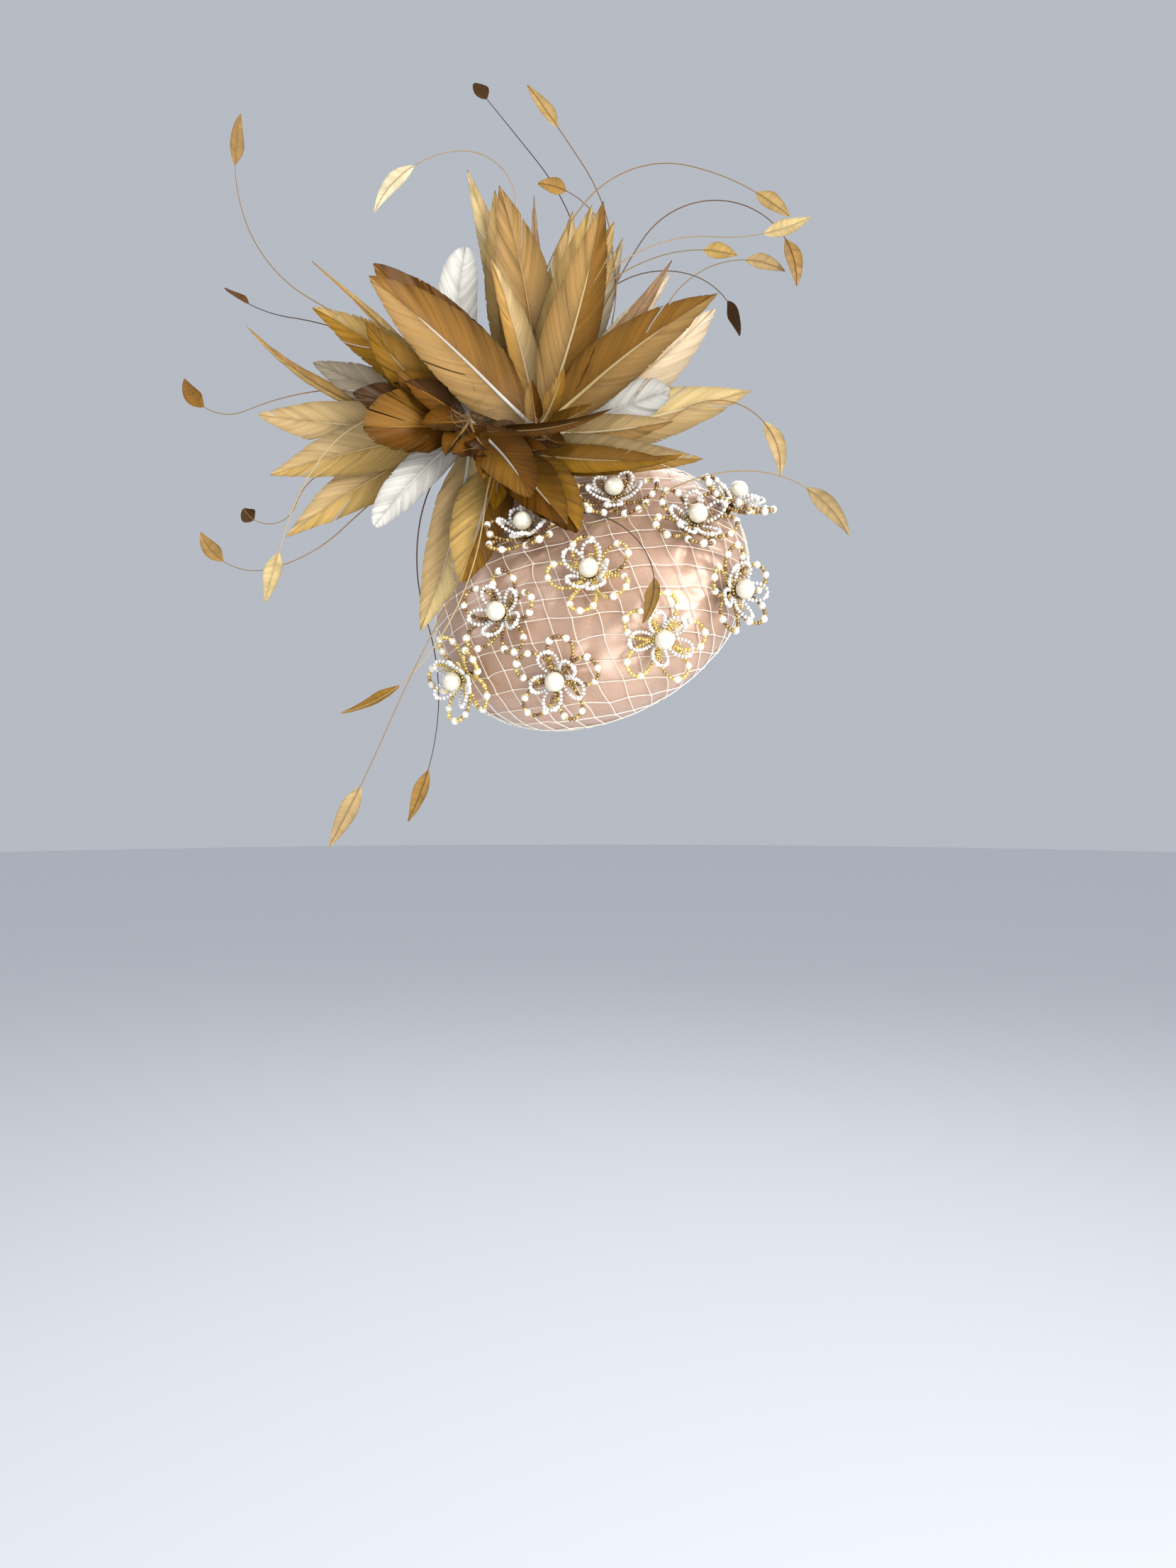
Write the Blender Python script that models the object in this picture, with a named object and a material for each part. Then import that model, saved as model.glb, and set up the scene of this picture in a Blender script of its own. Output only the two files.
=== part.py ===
"""A feathered percher hat: a satin crown under a coarse veil, ten beaded flowers and a burst of feathers.

Metres, +Z up, +Y away from the viewer. The origin is the middle of the crown's rim, where the hat
sits on a head.
"""
import math
from collections import namedtuple

import bmesh
import bpy
from mathutils import Matrix, Vector

FIT_GAP = 0.0003

# Crown, in its own axes: length along x, width along y, height along z
CROWN_HALF_LENGTH = 0.092
CROWN_HALF_WIDTH = 0.080
CROWN_HEIGHT = 0.058
CROWN_WALL = 0.003
CROWN_SQUARENESS = 2.5
RIM_TUCK = 0.005
RIM_TUCK_HEIGHT = 0.024
HAT_LEAN = math.radians(59)
HAT_ROLL = math.radians(28.5)
CROWN_SIDES = 28
OUTER_RINGS = 8
INNER_RINGS = 5
NORMAL_STEP = math.radians(0.11)

# Gathers in the satin at the right end of the crown
GATHER_DEPTH = 0.0012
GATHER_COUNT = 6
GATHER_FROM = math.radians(-52)
GATHER_TO = math.radians(20)

# Veil
VEIL_PITCH = 0.0235
VEIL_STRAND = 0.0010
VEIL_LIFT = 0.0030
HEM_LIFT = 0.0056
VEIL_TURN = math.radians(14)
VEIL_HEM = 0.97
VEIL_SHIFT = (0.4, 0.3)
VEIL_MARGIN = 0.35

# Comb inside the back edge of the rim
COMB_LENGTH = 0.060
COMB_SPINE = 0.005
COMB_THICKNESS = 0.002
COMB_TOOTH_LENGTH = 0.024
COMB_TOOTH_WIDTH = 0.0022
COMB_TEETH = 9
COMB_HEIGHT = 0.004

# Feather mount: a covered pad, with the feathers bound to a flat head for each layer in front of it
MOUNT_X = -0.050
MOUNT_Z = 0.096
PAD_HALF_LENGTH = 0.034
PAD_HALF_HEIGHT = 0.026
PAD_THICKNESS = 0.009
PAD_FRONT_Y = 0.003
PAD_BEVEL = 0.0025
PAD_SIDES = 24
FOOT_WIDTH = 0.034
FOOT_DEPTH = 0.055
FOOT_INSET = 0.15
HEAD_HALF_LENGTH = 0.030
HEAD_HALF_HEIGHT = 0.017
HEAD_THICKNESS = 0.008
HEAD_SIDES = 16
FEATHER_LENGTH = 0.100
FEATHER_WIDTH = 0.025
FEATHER_THICKNESS = 0.0014
QUILL_WIDTH = 0.0030
FEATHER_RAMP = 0.3
WISP_RAMP = 0.12
WISP_LENGTH = 0.200
WISP_LEAF_LENGTH = 0.025
WISP_QUILL = 0.0013
WISP_LEAF_WIDTH = 0.0095
WISP_QUILL_PARTS = 8
PATH_STEPS = 48
VANE_PLACES = (0.12, 0.38, 0.66, 0.88)
VANE_WIDEST = 0.38
LEAF_PLACES = (0.35, 0.70)
LEAF_NARROWING = 0.77
QUILL_STACK_BACK = 0.94
QUILL_STACK_FRONT = 0.30
THICK_AT_HEAD = 1.2
THICK_AT_TIP = 0.6

# Flowers
PETALS = 5
STRING = 0.0018
OUTER_PETAL_LENGTH = 0.0200
OUTER_PETAL_WIDTH = 0.0150
OUTER_PETAL_CUP = math.radians(14)
INNER_PETAL_LENGTH = 0.0115
INNER_PETAL_WIDTH = 0.0085
INNER_PETAL_CUP = math.radians(42)
HUB_RADIUS = 0.0038
HUB_HEIGHT = 0.0046
FOOT_RADIUS = 0.0016
FOOT_HEIGHT = 0.0042
CLEARANCE_SIDES = 8
PEARL_RADIUS = 0.0050
PEARL_SIDES = 10
PEARL_RINGS = 5
PETAL_BASE = 0.85
PETAL_HEEL = 0.16
HEEL_HALF_WIDTH = 0.3
PETAL_CROWN = 0.7
SEAT_SHARE = 0.7

# Corners of a petal loop, as shares of its length and width
OUTER_SIDES = [(0.45, -0.50), (0.93, -0.34), (0.93, 0.34), (0.45, 0.50)]
INNER_SIDES = [(0.85, -0.50), (0.85, 0.50)]

# Layers of feathers from the pad forwards, with their heads' sizes as shares of the back one's
Layer = namedtuple("Layer", "name along up")
LAYERS = [
    Layer("plume_back", 1.0, 1.0),
    Layer("plume_middle", 0.9, 0.82),
    Layer("plume_front", 0.83, 0.70),
]

# Places where quills are bound, as shares of the pad's half length and half height
ANCHORS = {"upper": (0.53, -0.04), "side": (-0.56, 0.15), "low": (-0.06, -0.31)}

# Clock angles run anticlockwise from the viewer's right, and leans tip the feather towards the viewer,
# in degrees. Lengths and widths are shares of FEATHER_LENGTH and FEATHER_WIDTH. Bare is the share of the
# quill without vane. Tip is 2 for a point, and 3 or more for a round end.
Feather = namedtuple("Feather", "name layer anchor clock bend lean length width bare tip")
FEATHERS = [
    Feather("pale_gold_top", "plume_back", "upper", 103, 4, 4, 1.53, 0.6, 0.40, 1.8),
    Feather("tan_top_behind", "plume_back", "upper", 100, -8, 7, 1.36, 0.96, 0.40, 2.0),
    Feather("pale_brown_top", "plume_back", "upper", 81, 0, 6, 1.25, 0.96, 0.35, 2.0),
    Feather("brown_top_right", "plume_back", "upper", 70, -4, 6, 1.25, 0.88, 0.35, 2.2),
    Feather("grey_tan_top_right", "plume_back", "upper", 67, 6, 3, 1.22, 0.72, 0.35, 2.0),
    Feather("pale_upper_right", "plume_back", "upper", 50, 0, 7, 1.16, 0.72, 0.35, 2.0),
    Feather("beige_right", "plume_back", "upper", 35, 10, 6, 1.22, 1.44, 0.30, 2.0),
    Feather("pale_gold_right", "plume_back", "upper", 10, 4, 10, 1.21, 1.24, 0.25, 2.0),
    Feather("pinkish_top", "plume_back", "upper", 91, 0, 4, 1.34, 0.36, 0.40, 2.0),
    Feather("twisted_left", "plume_back", "side", 156, -24, 4, 1.42, 0.4, 0.45, 1.8),
    Feather("edge_on_left", "plume_back", "side", 134, 6, 3, 1.3, 0.28, 0.45, 2.0),
    Feather("grey_left", "plume_back", "side", 158, 0, 4, 0.96, 0.96, 0.30, 2.4),
    Feather("pale_left", "plume_back", "side", 178, -4, 7, 1.18, 1.12, 0.25, 2.4),
    Feather("gold_lower_left", "plume_back", "side", -164, 6, 11, 1.15, 1.24, 0.25, 2.0),
    Feather("long_lower_left", "plume_back", "side", -148, 8, 7, 1.21, 1.16, 0.25, 1.9),
    Feather("tan_top", "plume_middle", "upper", 99, 10, 16, 1.3, 1.4, 0.25, 2.0),
    Feather("caramel_top", "plume_middle", "upper", 106, 8, 23, 0.94, 0.68, 0.25, 2.0),
    Feather("gold_top_behind", "plume_middle", "upper", 75, 0, 19, 1.21, 1.12, 0.25, 2.0),
    Feather("folded_upper_right", "plume_middle", "upper", 50, 4, 14, 1.17, 0.52, 0.30, 1.8),
    Feather("white_right", "plume_middle", "upper", 12, 0, 23, 0.78, 1.0, 0.15, 4.0),
    Feather("white_top", "plume_middle", "side", 90, -16, 19, 0.93, 0.92, 0.25, 4.0),
    Feather("white_lower_left", "plume_middle", "side", -127, 8, 25, 0.86, 0.84, 0.15, 3.4),
    Feather("gold_left", "plume_middle", "side", 146, 10, 16, 1.04, 1.0, 0.25, 2.2),
    Feather("long_down", "plume_middle", "side", -101, -8, 20, 1.28, 0.96, 0.30, 2.2),
    Feather("striped_down", "plume_middle", "low", -101, 2, 35, 1.01, 1.24, 0.20, 2.4),
    Feather("mustard_down", "plume_middle", "low", -93, 0, 35, 0.48, 0.56, 0.20, 2.4),
    Feather("light_gold_front", "plume_front", "upper", 71, 6, 28, 1.21, 1.2, 0.20, 1.8),
    Feather("brown_gold_right", "plume_front", "upper", 29, -10, 32, 1.23, 1.2, 0.15, 2.0),
    Feather("big_tan_left", "plume_front", "upper", 144, 6, 35, 1.19, 1.48, 0.08, 2.2),
    Feather("brown_behind_tan", "plume_front", "upper", 139, 4, 28, 1.2, 1.32, 0.10, 2.4),
    Feather("tan_right", "plume_front", "upper", -4, 6, 30, 0.82, 0.72, 0.12, 2.0),
    Feather("mustard_left", "plume_front", "side", 140, -14, 30, 0.76, 0.92, 0.12, 2.2),
    Feather("dark_leaf", "plume_front", "side", -165, 0, 38, 0.65, 1.48, 0.10, 3.4),
    Feather("dark_leaf_behind", "plume_front", "side", 173, 0, 28, 0.66, 0.96, 0.15, 2.6),
    Feather("brown_upper_left", "plume_front", "side", 155, 0, 40, 0.5, 0.88, 0.15, 2.2),
    Feather("brown_leaf_front", "plume_front", "side", -57, -10, 44, 0.85, 1.36, 0.12, 2.4),
    Feather("curled_dark", "plume_front", "side", -5, 18, 36, 0.94, 0.28, 0.20, 2.0),
    Feather("brown_leaf_low", "plume_front", "low", -57, 0, 46, 0.92, 1.12, 0.15, 2.0),
    Feather("mustard_low", "plume_front", "low", -55, -8, 43, 0.96, 1.24, 0.15, 2.4),
    Feather("long_right", "plume_front", "low", -15, 6, 41, 1.22, 0.96, 0.12, 2.0),
    Feather("split_right", "plume_front", "low", -12, 4, 30, 1.22, 0.88, 0.20, 2.0),
    Feather("short_right", "plume_front", "low", -18, 6, 43, 1.16, 0.64, 0.30, 2.2),
]

# Wisps: stripped quills that end in a small leaf. The clock angle is given at five even stations. Lengths
# and leaves are shares of WISP_LENGTH and WISP_LEAF_LENGTH.
Wisp = namedtuple("Wisp", "name layer anchor clocks leans length leaf")
WISPS = [
    Wisp("left_high", "plume_back", "side", (127, 144, 151, 108, 74), (3, 3), 1.165, 1.16),
    Wisp("left_dark", "plume_back", "side", (124, 140, 157, 172, 139), (1, 1), 0.83, 0.68),
    Wisp("left_middle", "plume_back", "side", (147, 164, 187, 204, 100), (2, 2), 0.89, 0.8),
    Wisp("left_tiny", "plume_back", "side", (-161, -158, -175, -106, -245), (4, 4), 0.745, 0.36),
    Wisp("left_low", "plume_back", "side", (-152, -140, -136, -166, -253), (3, 3), 0.935, 0.84),
    Wisp("down_dark", "plume_back", "side", (-141, -101, -72, -96, -117), (0, 2), 1.175, 1.28),
    Wisp("top_dark", "plume_back", "upper", (51, 77, 104, 129, 130), (0, 2), 1.13, 0.48),
    Wisp("top_gold", "plume_back", "upper", (45, 66, 92, 123, 127), (1, 1), 1.12, 1.2),
    Wisp("top_left_arch", "plume_back", "upper", (97, 112, 67, 187, 249), (2, 2), 1.23, 1.44),
    Wisp("top_small", "plume_back", "upper", (39, 59, 83, 118, 178), (3, 3), 0.885, 0.68),
    Wisp("right_pale", "plume_back", "upper", (89, 66, 34, -8, 25), (7, 7), 1.08, 1.08),
    Wisp("right_grey", "plume_back", "upper", (59, 66, 56, -19, -97), (4, 4), 1.23, 1.16),
    Wisp("right_short", "plume_back", "upper", (41, 23, 79, 24, -34), (2, 6), 0.92, 0.96),
    Wisp("right_dark", "plume_back", "upper", (88, 67, 37, -17, -87), (1, 1), 0.965, 0.88),
    Wisp("right_high_arch", "plume_middle", "upper", (105, 79, 50, -18, -46), (10, 10), 1.275, 0.96),
    Wisp("right_yellow", "plume_middle", "upper", (93, 67, 39, 12, -22), (14, 10), 0.83, 0.76),
    Wisp("right_hook", "plume_middle", "upper", (-37, 13, 36, -38, -101), (10, 6), 0.85, 1.36),
    Wisp("left_front", "plume_front", "side", (-204, -161, -122, -103, -100), (20, 12), 0.9, 1.16),
    Wisp("down_near", "plume_front", "low", (-106, -92, -107, -127, -169), (41, 1), 0.98, 1.36),
    Wisp("down_long", "plume_front", "low", (-96, -104, -114, -112, -119), (42, -2), 1.25, 1.36),
    Wisp("right_long", "plume_front", "low", (-58, -53, 36, -6, -63), (46, -8), 1.18, 1.32),
    Wisp("right_falling", "plume_front", "low", (-75, -50, -12, -61, -124), (46, 12), 1.0, 1.04),
]

# Flowers on the crown: azimuth from its right end, height as a share of the way to its top, the turn of the
# petals, and how far the flower tips up from the crown's own slope, in degrees
Flower = namedtuple("Flower", "azimuth rise turn tip")
FLOWERS = [
    Flower(207, 0.67, 10, 0),
    Flower(270, 0.81, 40, 6),
    Flower(241, 0.41, 10, 0),
    Flower(281, 0.40, 10, 0),
    Flower(314, 0.26, 30, 0),
    Flower(335, 0.56, 50, 6),
    Flower(352, 0.29, 10, 20),
    Flower(12, 0.83, 20, 12),
    Flower(141, 0.89, 20, 18),
    Flower(200, 0.31, 30, 0),
]


def remove_everything():
    """Empty the scene before modelling."""
    for item in list(bpy.data.objects):
        bpy.data.objects.remove(item, do_unlink=True)


def make_material(name, colour, roughness, metallic=0.0):
    """A plain finish for one sub-part."""
    material = bpy.data.materials.new(name)
    material.use_nodes = True
    shader = material.node_tree.nodes["Principled BSDF"]
    shader.inputs["Base Color"].default_value = (*colour, 1.0)
    shader.inputs["Roughness"].default_value = roughness
    shader.inputs["Metallic"].default_value = metallic
    return material


def object_from_bmesh(bm, name, material=None):
    """Turn a bmesh into an object with its faces pointing out."""
    bmesh.ops.recalc_face_normals(bm, faces=bm.faces)
    mesh = bpy.data.meshes.new(name)
    bm.to_mesh(mesh)
    bm.free()
    if material:
        mesh.materials.append(material)
    item = bpy.data.objects.new(name, mesh)
    bpy.context.scene.collection.objects.link(item)
    return item


def as_cutter(item):
    """Keep a cutting shape out of the finished model."""
    item.hide_render = True
    item.display_type = "WIRE"
    return item


def apply_modifiers(item):
    """Replace an object's mesh by its evaluated one."""
    bpy.context.view_layer.update()
    graph = bpy.context.evaluated_depsgraph_get()
    finished = bpy.data.meshes.new_from_object(item.evaluated_get(graph))
    item.modifiers.clear()
    item.data = finished


def combine(body, other, operation):
    """Fuse another object into a body, or cut it away, and remove the other object."""
    step = body.modifiers.new(operation.lower(), "BOOLEAN")
    step.operation = operation
    step.solver = "EXACT"
    step.object = other
    apply_modifiers(body)
    bpy.data.objects.remove(other, do_unlink=True)


def hat_matrix():
    """The hat's axes as it is worn: leant towards the viewer, then rolled up at the right."""
    return Matrix.Rotation(-HAT_ROLL, 4, "Y") @ Matrix.Rotation(HAT_LEAN, 4, "X")


def gather_dent(azimuth):
    """How far the satin is drawn in at an azimuth, among the gathers at the right end."""
    turned = math.remainder(azimuth, math.tau)
    if not GATHER_FROM < turned < GATHER_TO:
        return 0.0
    share = (turned - GATHER_FROM) / (GATHER_TO - GATHER_FROM)
    return GATHER_DEPTH * math.sin(math.pi * GATHER_COUNT * share) ** 2


def crown_azimuths():
    """Even steps round the crown, with two steps to each gather."""
    angles = [math.tau * side / CROWN_SIDES for side in range(CROWN_SIDES)]
    plain = [angle for angle in angles if not GATHER_FROM < math.remainder(angle, math.tau) < GATHER_TO]
    steps = 2 * GATHER_COUNT
    gathered = [GATHER_FROM + (GATHER_TO - GATHER_FROM) * step / steps for step in range(steps + 1)]
    return sorted({round(angle % math.tau, 6) for angle in plain + gathered})


def crown_point(azimuth, rise, grow=0.0, gathered=False):
    """A point of the crown's surface: rise is 0 at the rim and 1 at the top, grow moves it outwards."""
    climb = rise * math.pi / 2
    reach = max(math.cos(climb), 0.0) ** (2 / CROWN_SQUARENESS)
    height = CROWN_HEIGHT * math.sin(climb) ** (2 / CROWN_SQUARENESS)
    tuck = RIM_TUCK * max(0.0, 1 - height / RIM_TUCK_HEIGHT) ** 2
    if gathered:
        tuck += gather_dent(azimuth) * math.sin(2 * climb)
    x = ((CROWN_HALF_LENGTH + grow) * reach - tuck) * math.cos(azimuth)
    y = ((CROWN_HALF_WIDTH + grow) * reach - tuck) * math.sin(azimuth)
    return Vector((x, y, height * (CROWN_HEIGHT + grow) / CROWN_HEIGHT))


def crown_normal(azimuth, rise):
    """The outward direction of the crown's surface."""
    level = min(max(rise, 2 * NORMAL_STEP), 1 - 2 * NORMAL_STEP)
    along = crown_point(azimuth + NORMAL_STEP, level) - crown_point(azimuth - NORMAL_STEP, level)
    up = crown_point(azimuth, level + NORMAL_STEP) - crown_point(azimuth, level - NORMAL_STEP)
    return along.cross(up).normalized()


def add_ring(bm, points):
    """Add a closed ring of vertices."""
    return [bm.verts.new(point) for point in points]


def bridge(bm, lower, upper):
    """Join two rings of as many vertices with quads."""
    count = len(lower)
    for index in range(count):
        after = (index + 1) % count
        bm.faces.new((lower[index], lower[after], upper[after], upper[index]))


def close_with_fan(bm, ring, point):
    """Close a ring with a fan of triangles to one point."""
    centre = bm.verts.new(point)
    for index in range(len(ring)):
        bm.faces.new((ring[index], ring[(index + 1) % len(ring)], centre))


def crown_rings(bm, azimuths, rings, grow, gathered):
    """Rings of one crown surface from the rim up, joined and closed at the top."""
    made = []
    for level in range(rings):
        rise = level / rings
        made.append(add_ring(bm, [crown_point(azimuth, rise, grow, gathered) for azimuth in azimuths]))
    for lower, upper in zip(made, made[1:]):
        bridge(bm, lower, upper)
    close_with_fan(bm, made[-1], crown_point(0, 1, grow))
    return made


def make_crown(material):
    """The satin crown: a hollow dome with a turned rim."""
    bm = bmesh.new()
    azimuths = crown_azimuths()
    outer = crown_rings(bm, azimuths, OUTER_RINGS, 0.0, True)
    inner = crown_rings(bm, azimuths, INNER_RINGS, -CROWN_WALL, False)
    roll = Vector((0, 0, -CROWN_WALL / 2))
    middle = add_ring(bm, [(a.co + b.co) / 2 + roll for a, b in zip(outer[0], inner[0])])
    bridge(bm, outer[0], middle)
    bridge(bm, middle, inner[0])
    crown = object_from_bmesh(bm, "crown", material)
    crown.data.shade_smooth()
    crown.matrix_world = hat_matrix()
    return crown


def crown_cutter(clearance):
    """A filled crown, larger than the real one by a clearance."""
    bm = bmesh.new()
    rings = crown_rings(bm, crown_azimuths(), OUTER_RINGS, clearance, False)
    close_with_fan(bm, rings[0], (0, 0, 0))
    cutter = as_cutter(object_from_bmesh(bm, "crown_cutter"))
    cutter.matrix_world = hat_matrix()
    return cutter


def meridian_lengths(azimuth, steps=60):
    """Lengths from the crown's top down to each of many even rises, along one azimuth."""
    points = [crown_point(azimuth, 1 - step / steps) for step in range(steps + 1)]
    lengths = [0.0]
    for above, below in zip(points, points[1:]):
        lengths.append(lengths[-1] + (below - above).length)
    return lengths


def rise_at_length(azimuth, length):
    """The rise that lies a length down from the crown's top."""
    lengths = meridian_lengths(azimuth)
    steps = len(lengths) - 1
    for step in range(steps):
        if lengths[step + 1] >= length:
            share = (length - lengths[step]) / (lengths[step + 1] - lengths[step])
            return 1 - (step + share) / steps
    return 0.0


def veil_vertex(column, row):
    """Where one knot of the net lies on the crown, and whether it is short of the hem."""
    flat = Vector((column * VEIL_PITCH, row * VEIL_PITCH)) + Vector(VEIL_SHIFT) * VEIL_PITCH
    flat.rotate(Matrix.Rotation(VEIL_TURN, 2))
    azimuth = math.atan2(flat.y, flat.x)
    whole = meridian_lengths(azimuth)[-1] * VEIL_HEM
    inside = flat.length < whole - VEIL_PITCH * VEIL_MARGIN
    length = flat.length if inside else whole
    rise = rise_at_length(azimuth, length)
    lift = VEIL_LIFT if inside else HEM_LIFT
    return crown_point(azimuth, rise) + crown_normal(azimuth, rise) * lift, inside


def make_veil(material):
    """The coarse net over the crown, its outer knots drawn in to the hem."""
    bm = bmesh.new()
    reach = int((CROWN_HALF_LENGTH + CROWN_HEIGHT) / VEIL_PITCH) + 2
    knots = {}
    for column in range(-reach, reach + 1):
        for row in range(-reach, reach + 1):
            knots[column, row] = veil_vertex(column, row)
    vertices = {}
    for column in range(-reach, reach):
        for row in range(-reach, reach):
            corners = [(column, row), (column + 1, row), (column + 1, row + 1), (column, row + 1)]
            if not any(knots[corner][1] for corner in corners):
                continue
            for corner in corners:
                if corner not in vertices:
                    vertices[corner] = bm.verts.new(knots[corner][0])
            bm.faces.new([vertices[corner] for corner in corners])
    veil = object_from_bmesh(bm, "veil", material)
    strands = veil.modifiers.new("strands", "WIREFRAME")
    strands.thickness = VEIL_STRAND
    strands.offset = 0
    strands.use_boundary = True
    strands.use_replace = True
    strands.use_even_offset = True
    veil.matrix_world = hat_matrix()
    apply_modifiers(veil)
    return veil


def feather_path(start, clocks, leans, ramp, length, stations):
    """Points along a quill at the given shares of its length, with the clock angle at each.

    The quill leaves its head flat, and takes up its lean over the ramp, a share of its length.
    """
    points = [Vector(start)]
    angles = []
    for step in range(PATH_STEPS):
        share = (step + 0.5) / PATH_STEPS
        place = share * (len(clocks) - 1)
        index = min(int(place), len(clocks) - 2)
        clock = math.radians(clocks[index] + (clocks[index + 1] - clocks[index]) * (place - index))
        lean = math.radians(leans[0] + (leans[1] - leans[0]) * share) * min(1.0, share / ramp)
        angles.append(clock)
        flat = math.cos(lean)
        move = Vector((math.cos(clock) * flat, -math.sin(lean), math.sin(clock) * flat))
        points.append(points[-1] + move * length / PATH_STEPS)
    found = []
    for share in stations:
        place = share * PATH_STEPS
        index = min(int(place), PATH_STEPS - 1)
        point = points[index].lerp(points[index + 1], place - index)
        found.append((point, angles[index]))
    return found


def blade(name, sections):
    """A thin pointed solid through sections of (point, clock, half width, half thickness)."""
    bm = bmesh.new()
    rings = []
    for point, clock, half_width, half_thickness in sections[:-1]:
        across = Vector((-math.sin(clock), 0, math.cos(clock))) * half_width
        ridge = Vector((0, -2 * half_thickness, 0))
        rings.append(add_ring(bm, [point + across, point + ridge, point - across]))
    for lower, upper in zip(rings, rings[1:]):
        bridge(bm, lower, upper)
    bm.faces.new(rings[0])
    close_with_fan(bm, rings[-1], sections[-1][0])
    return object_from_bmesh(bm, name)


def vane_share(place, tip):
    """The vane's width at a place from its start, 0, to its tip, 1, as a share of its greatest width."""
    if place < VANE_WIDEST:
        return 1 - (1 - place / VANE_WIDEST) ** 2
    return 1 - ((place - VANE_WIDEST) / (1 - VANE_WIDEST)) ** tip


def make_feather(row, start):
    """One broad feather: a bare quill that opens into a flat vane."""
    stations = [0, row.bare] + [row.bare + (1 - row.bare) * place for place in VANE_PLACES] + [1]
    clocks = (row.clock - row.bend, row.clock, row.clock + row.bend)
    leans = (row.lean, row.lean)
    path = feather_path(start, clocks, leans, FEATHER_RAMP, row.length * FEATHER_LENGTH, stations)
    half_widths = [QUILL_WIDTH / 2, QUILL_WIDTH / 2]
    for place in VANE_PLACES:
        half_widths.append(max(QUILL_WIDTH, row.width * FEATHER_WIDTH * vane_share(place, row.tip)) / 2)
    half_widths.append(0.0)
    sections = []
    for (point, clock), half_width, station in zip(path, half_widths, stations):
        thinned = THICK_AT_HEAD + (THICK_AT_TIP - THICK_AT_HEAD) * station
        sections.append((point, clock, half_width, FEATHER_THICKNESS / 2 * thinned))
    return blade(row.name, sections)


def make_wisp(row, start):
    """One stripped quill with a small leaf at its end."""
    length = row.length * WISP_LENGTH
    leaf_start = 1 - row.leaf * WISP_LEAF_LENGTH / length
    quill = [leaf_start * part / WISP_QUILL_PARTS for part in range(WISP_QUILL_PARTS + 1)]
    stations = quill + [leaf_start + (1 - leaf_start) * place for place in LEAF_PLACES] + [1]
    path = feather_path(start, row.clocks, row.leans, WISP_RAMP, length, stations)
    leaf = [WISP_LEAF_WIDTH / 2, WISP_LEAF_WIDTH / 2 * LEAF_NARROWING, 0.0]
    half_widths = [WISP_QUILL / 2] * len(quill) + leaf
    sections = []
    for (point, clock), half_width in zip(path, half_widths):
        sections.append((point, clock, half_width, WISP_QUILL / 2))
    return blade(row.name, sections)


def oval_disc(name, half_length, half_height, thickness, front_y, sides):
    """An upright oval disc at the feather mount, facing the viewer."""
    bm = bmesh.new()
    rings = []
    for y in (front_y, front_y + thickness):
        angles = [math.tau * side / sides for side in range(sides)]
        around = [(half_length * math.cos(angle), half_height * math.sin(angle)) for angle in angles]
        rings.append(add_ring(bm, [(MOUNT_X + x, y, MOUNT_Z + z) for x, z in around]))
    bridge(bm, rings[0], rings[1])
    bm.faces.new(rings[0])
    bm.faces.new(rings[1])
    return object_from_bmesh(bm, name)


def anchor_point(anchor, y):
    """Where quills are bound, in the plane at a depth."""
    along, up = ANCHORS[anchor]
    return Vector((MOUNT_X + along * PAD_HALF_LENGTH, y, MOUNT_Z + up * PAD_HALF_HEIGHT))


def make_plume(layer, number, material):
    """One layer of feathers and wisps, fused to the flat head that binds their quills."""
    front_y = PAD_FRONT_Y - (number + 1) * (HEAD_THICKNESS + FIT_GAP)
    size = (HEAD_HALF_LENGTH * layer.along, HEAD_HALF_HEIGHT * layer.up, HEAD_THICKNESS)
    plume = oval_disc(layer.name, *size, front_y, HEAD_SIDES)
    feathers = [(row.lean, make_feather, row) for row in FEATHERS if row.layer == layer.name]
    wisps = [(row.leans[0], make_wisp, row) for row in WISPS if row.layer == layer.name]
    bound = sorted(feathers + wisps, key=lambda entry: entry[0])
    for place, (_, make, row) in enumerate(bound):
        stacked = QUILL_STACK_BACK + (QUILL_STACK_FRONT - QUILL_STACK_BACK) * place / (len(bound) - 1)
        y = front_y + HEAD_THICKNESS * stacked
        combine(plume, make(row, anchor_point(row.anchor, y)), "UNION")
    plume.data.materials.clear()
    plume.data.materials.append(material)
    return plume


def foot_block(name, grow):
    """The block from the pad down through the crown's top, grown sideways by a clearance."""
    bm = bmesh.new()
    top = MOUNT_Z - PAD_HALF_HEIGHT / 2
    low = MOUNT_Z - FOOT_DEPTH
    half = FOOT_WIDTH / 2 + grow
    inset = PAD_THICKNESS * FOOT_INSET
    rings = []
    for z in (low, top):
        front = PAD_FRONT_Y + inset - grow
        back = PAD_FRONT_Y + PAD_THICKNESS - inset + grow
        corners = [(-half, front), (half, front), (half, back), (-half, back)]
        rings.append(add_ring(bm, [(MOUNT_X + x, y, z) for x, y in corners]))
    bridge(bm, rings[0], rings[1])
    bm.faces.new(rings[0])
    bm.faces.new(rings[1])
    return object_from_bmesh(bm, name)


def make_mount(material):
    """The covered pad behind the feathers, with a foot that stands on the crown."""
    pad = oval_disc("plume_mount", PAD_HALF_LENGTH, PAD_HALF_HEIGHT, PAD_THICKNESS, PAD_FRONT_Y, PAD_SIDES)
    edge = pad.modifiers.new("rounded_edge", "BEVEL")
    edge.width = PAD_BEVEL
    edge.segments = 1
    edge.limit_method = "ANGLE"
    edge.angle_limit = math.radians(60)
    apply_modifiers(pad)
    combine(pad, foot_block("plume_mount_foot", 0.0), "UNION")
    combine(pad, crown_cutter(FIT_GAP), "DIFFERENCE")
    pad.data.materials.clear()
    pad.data.materials.append(material)
    return pad


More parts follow.
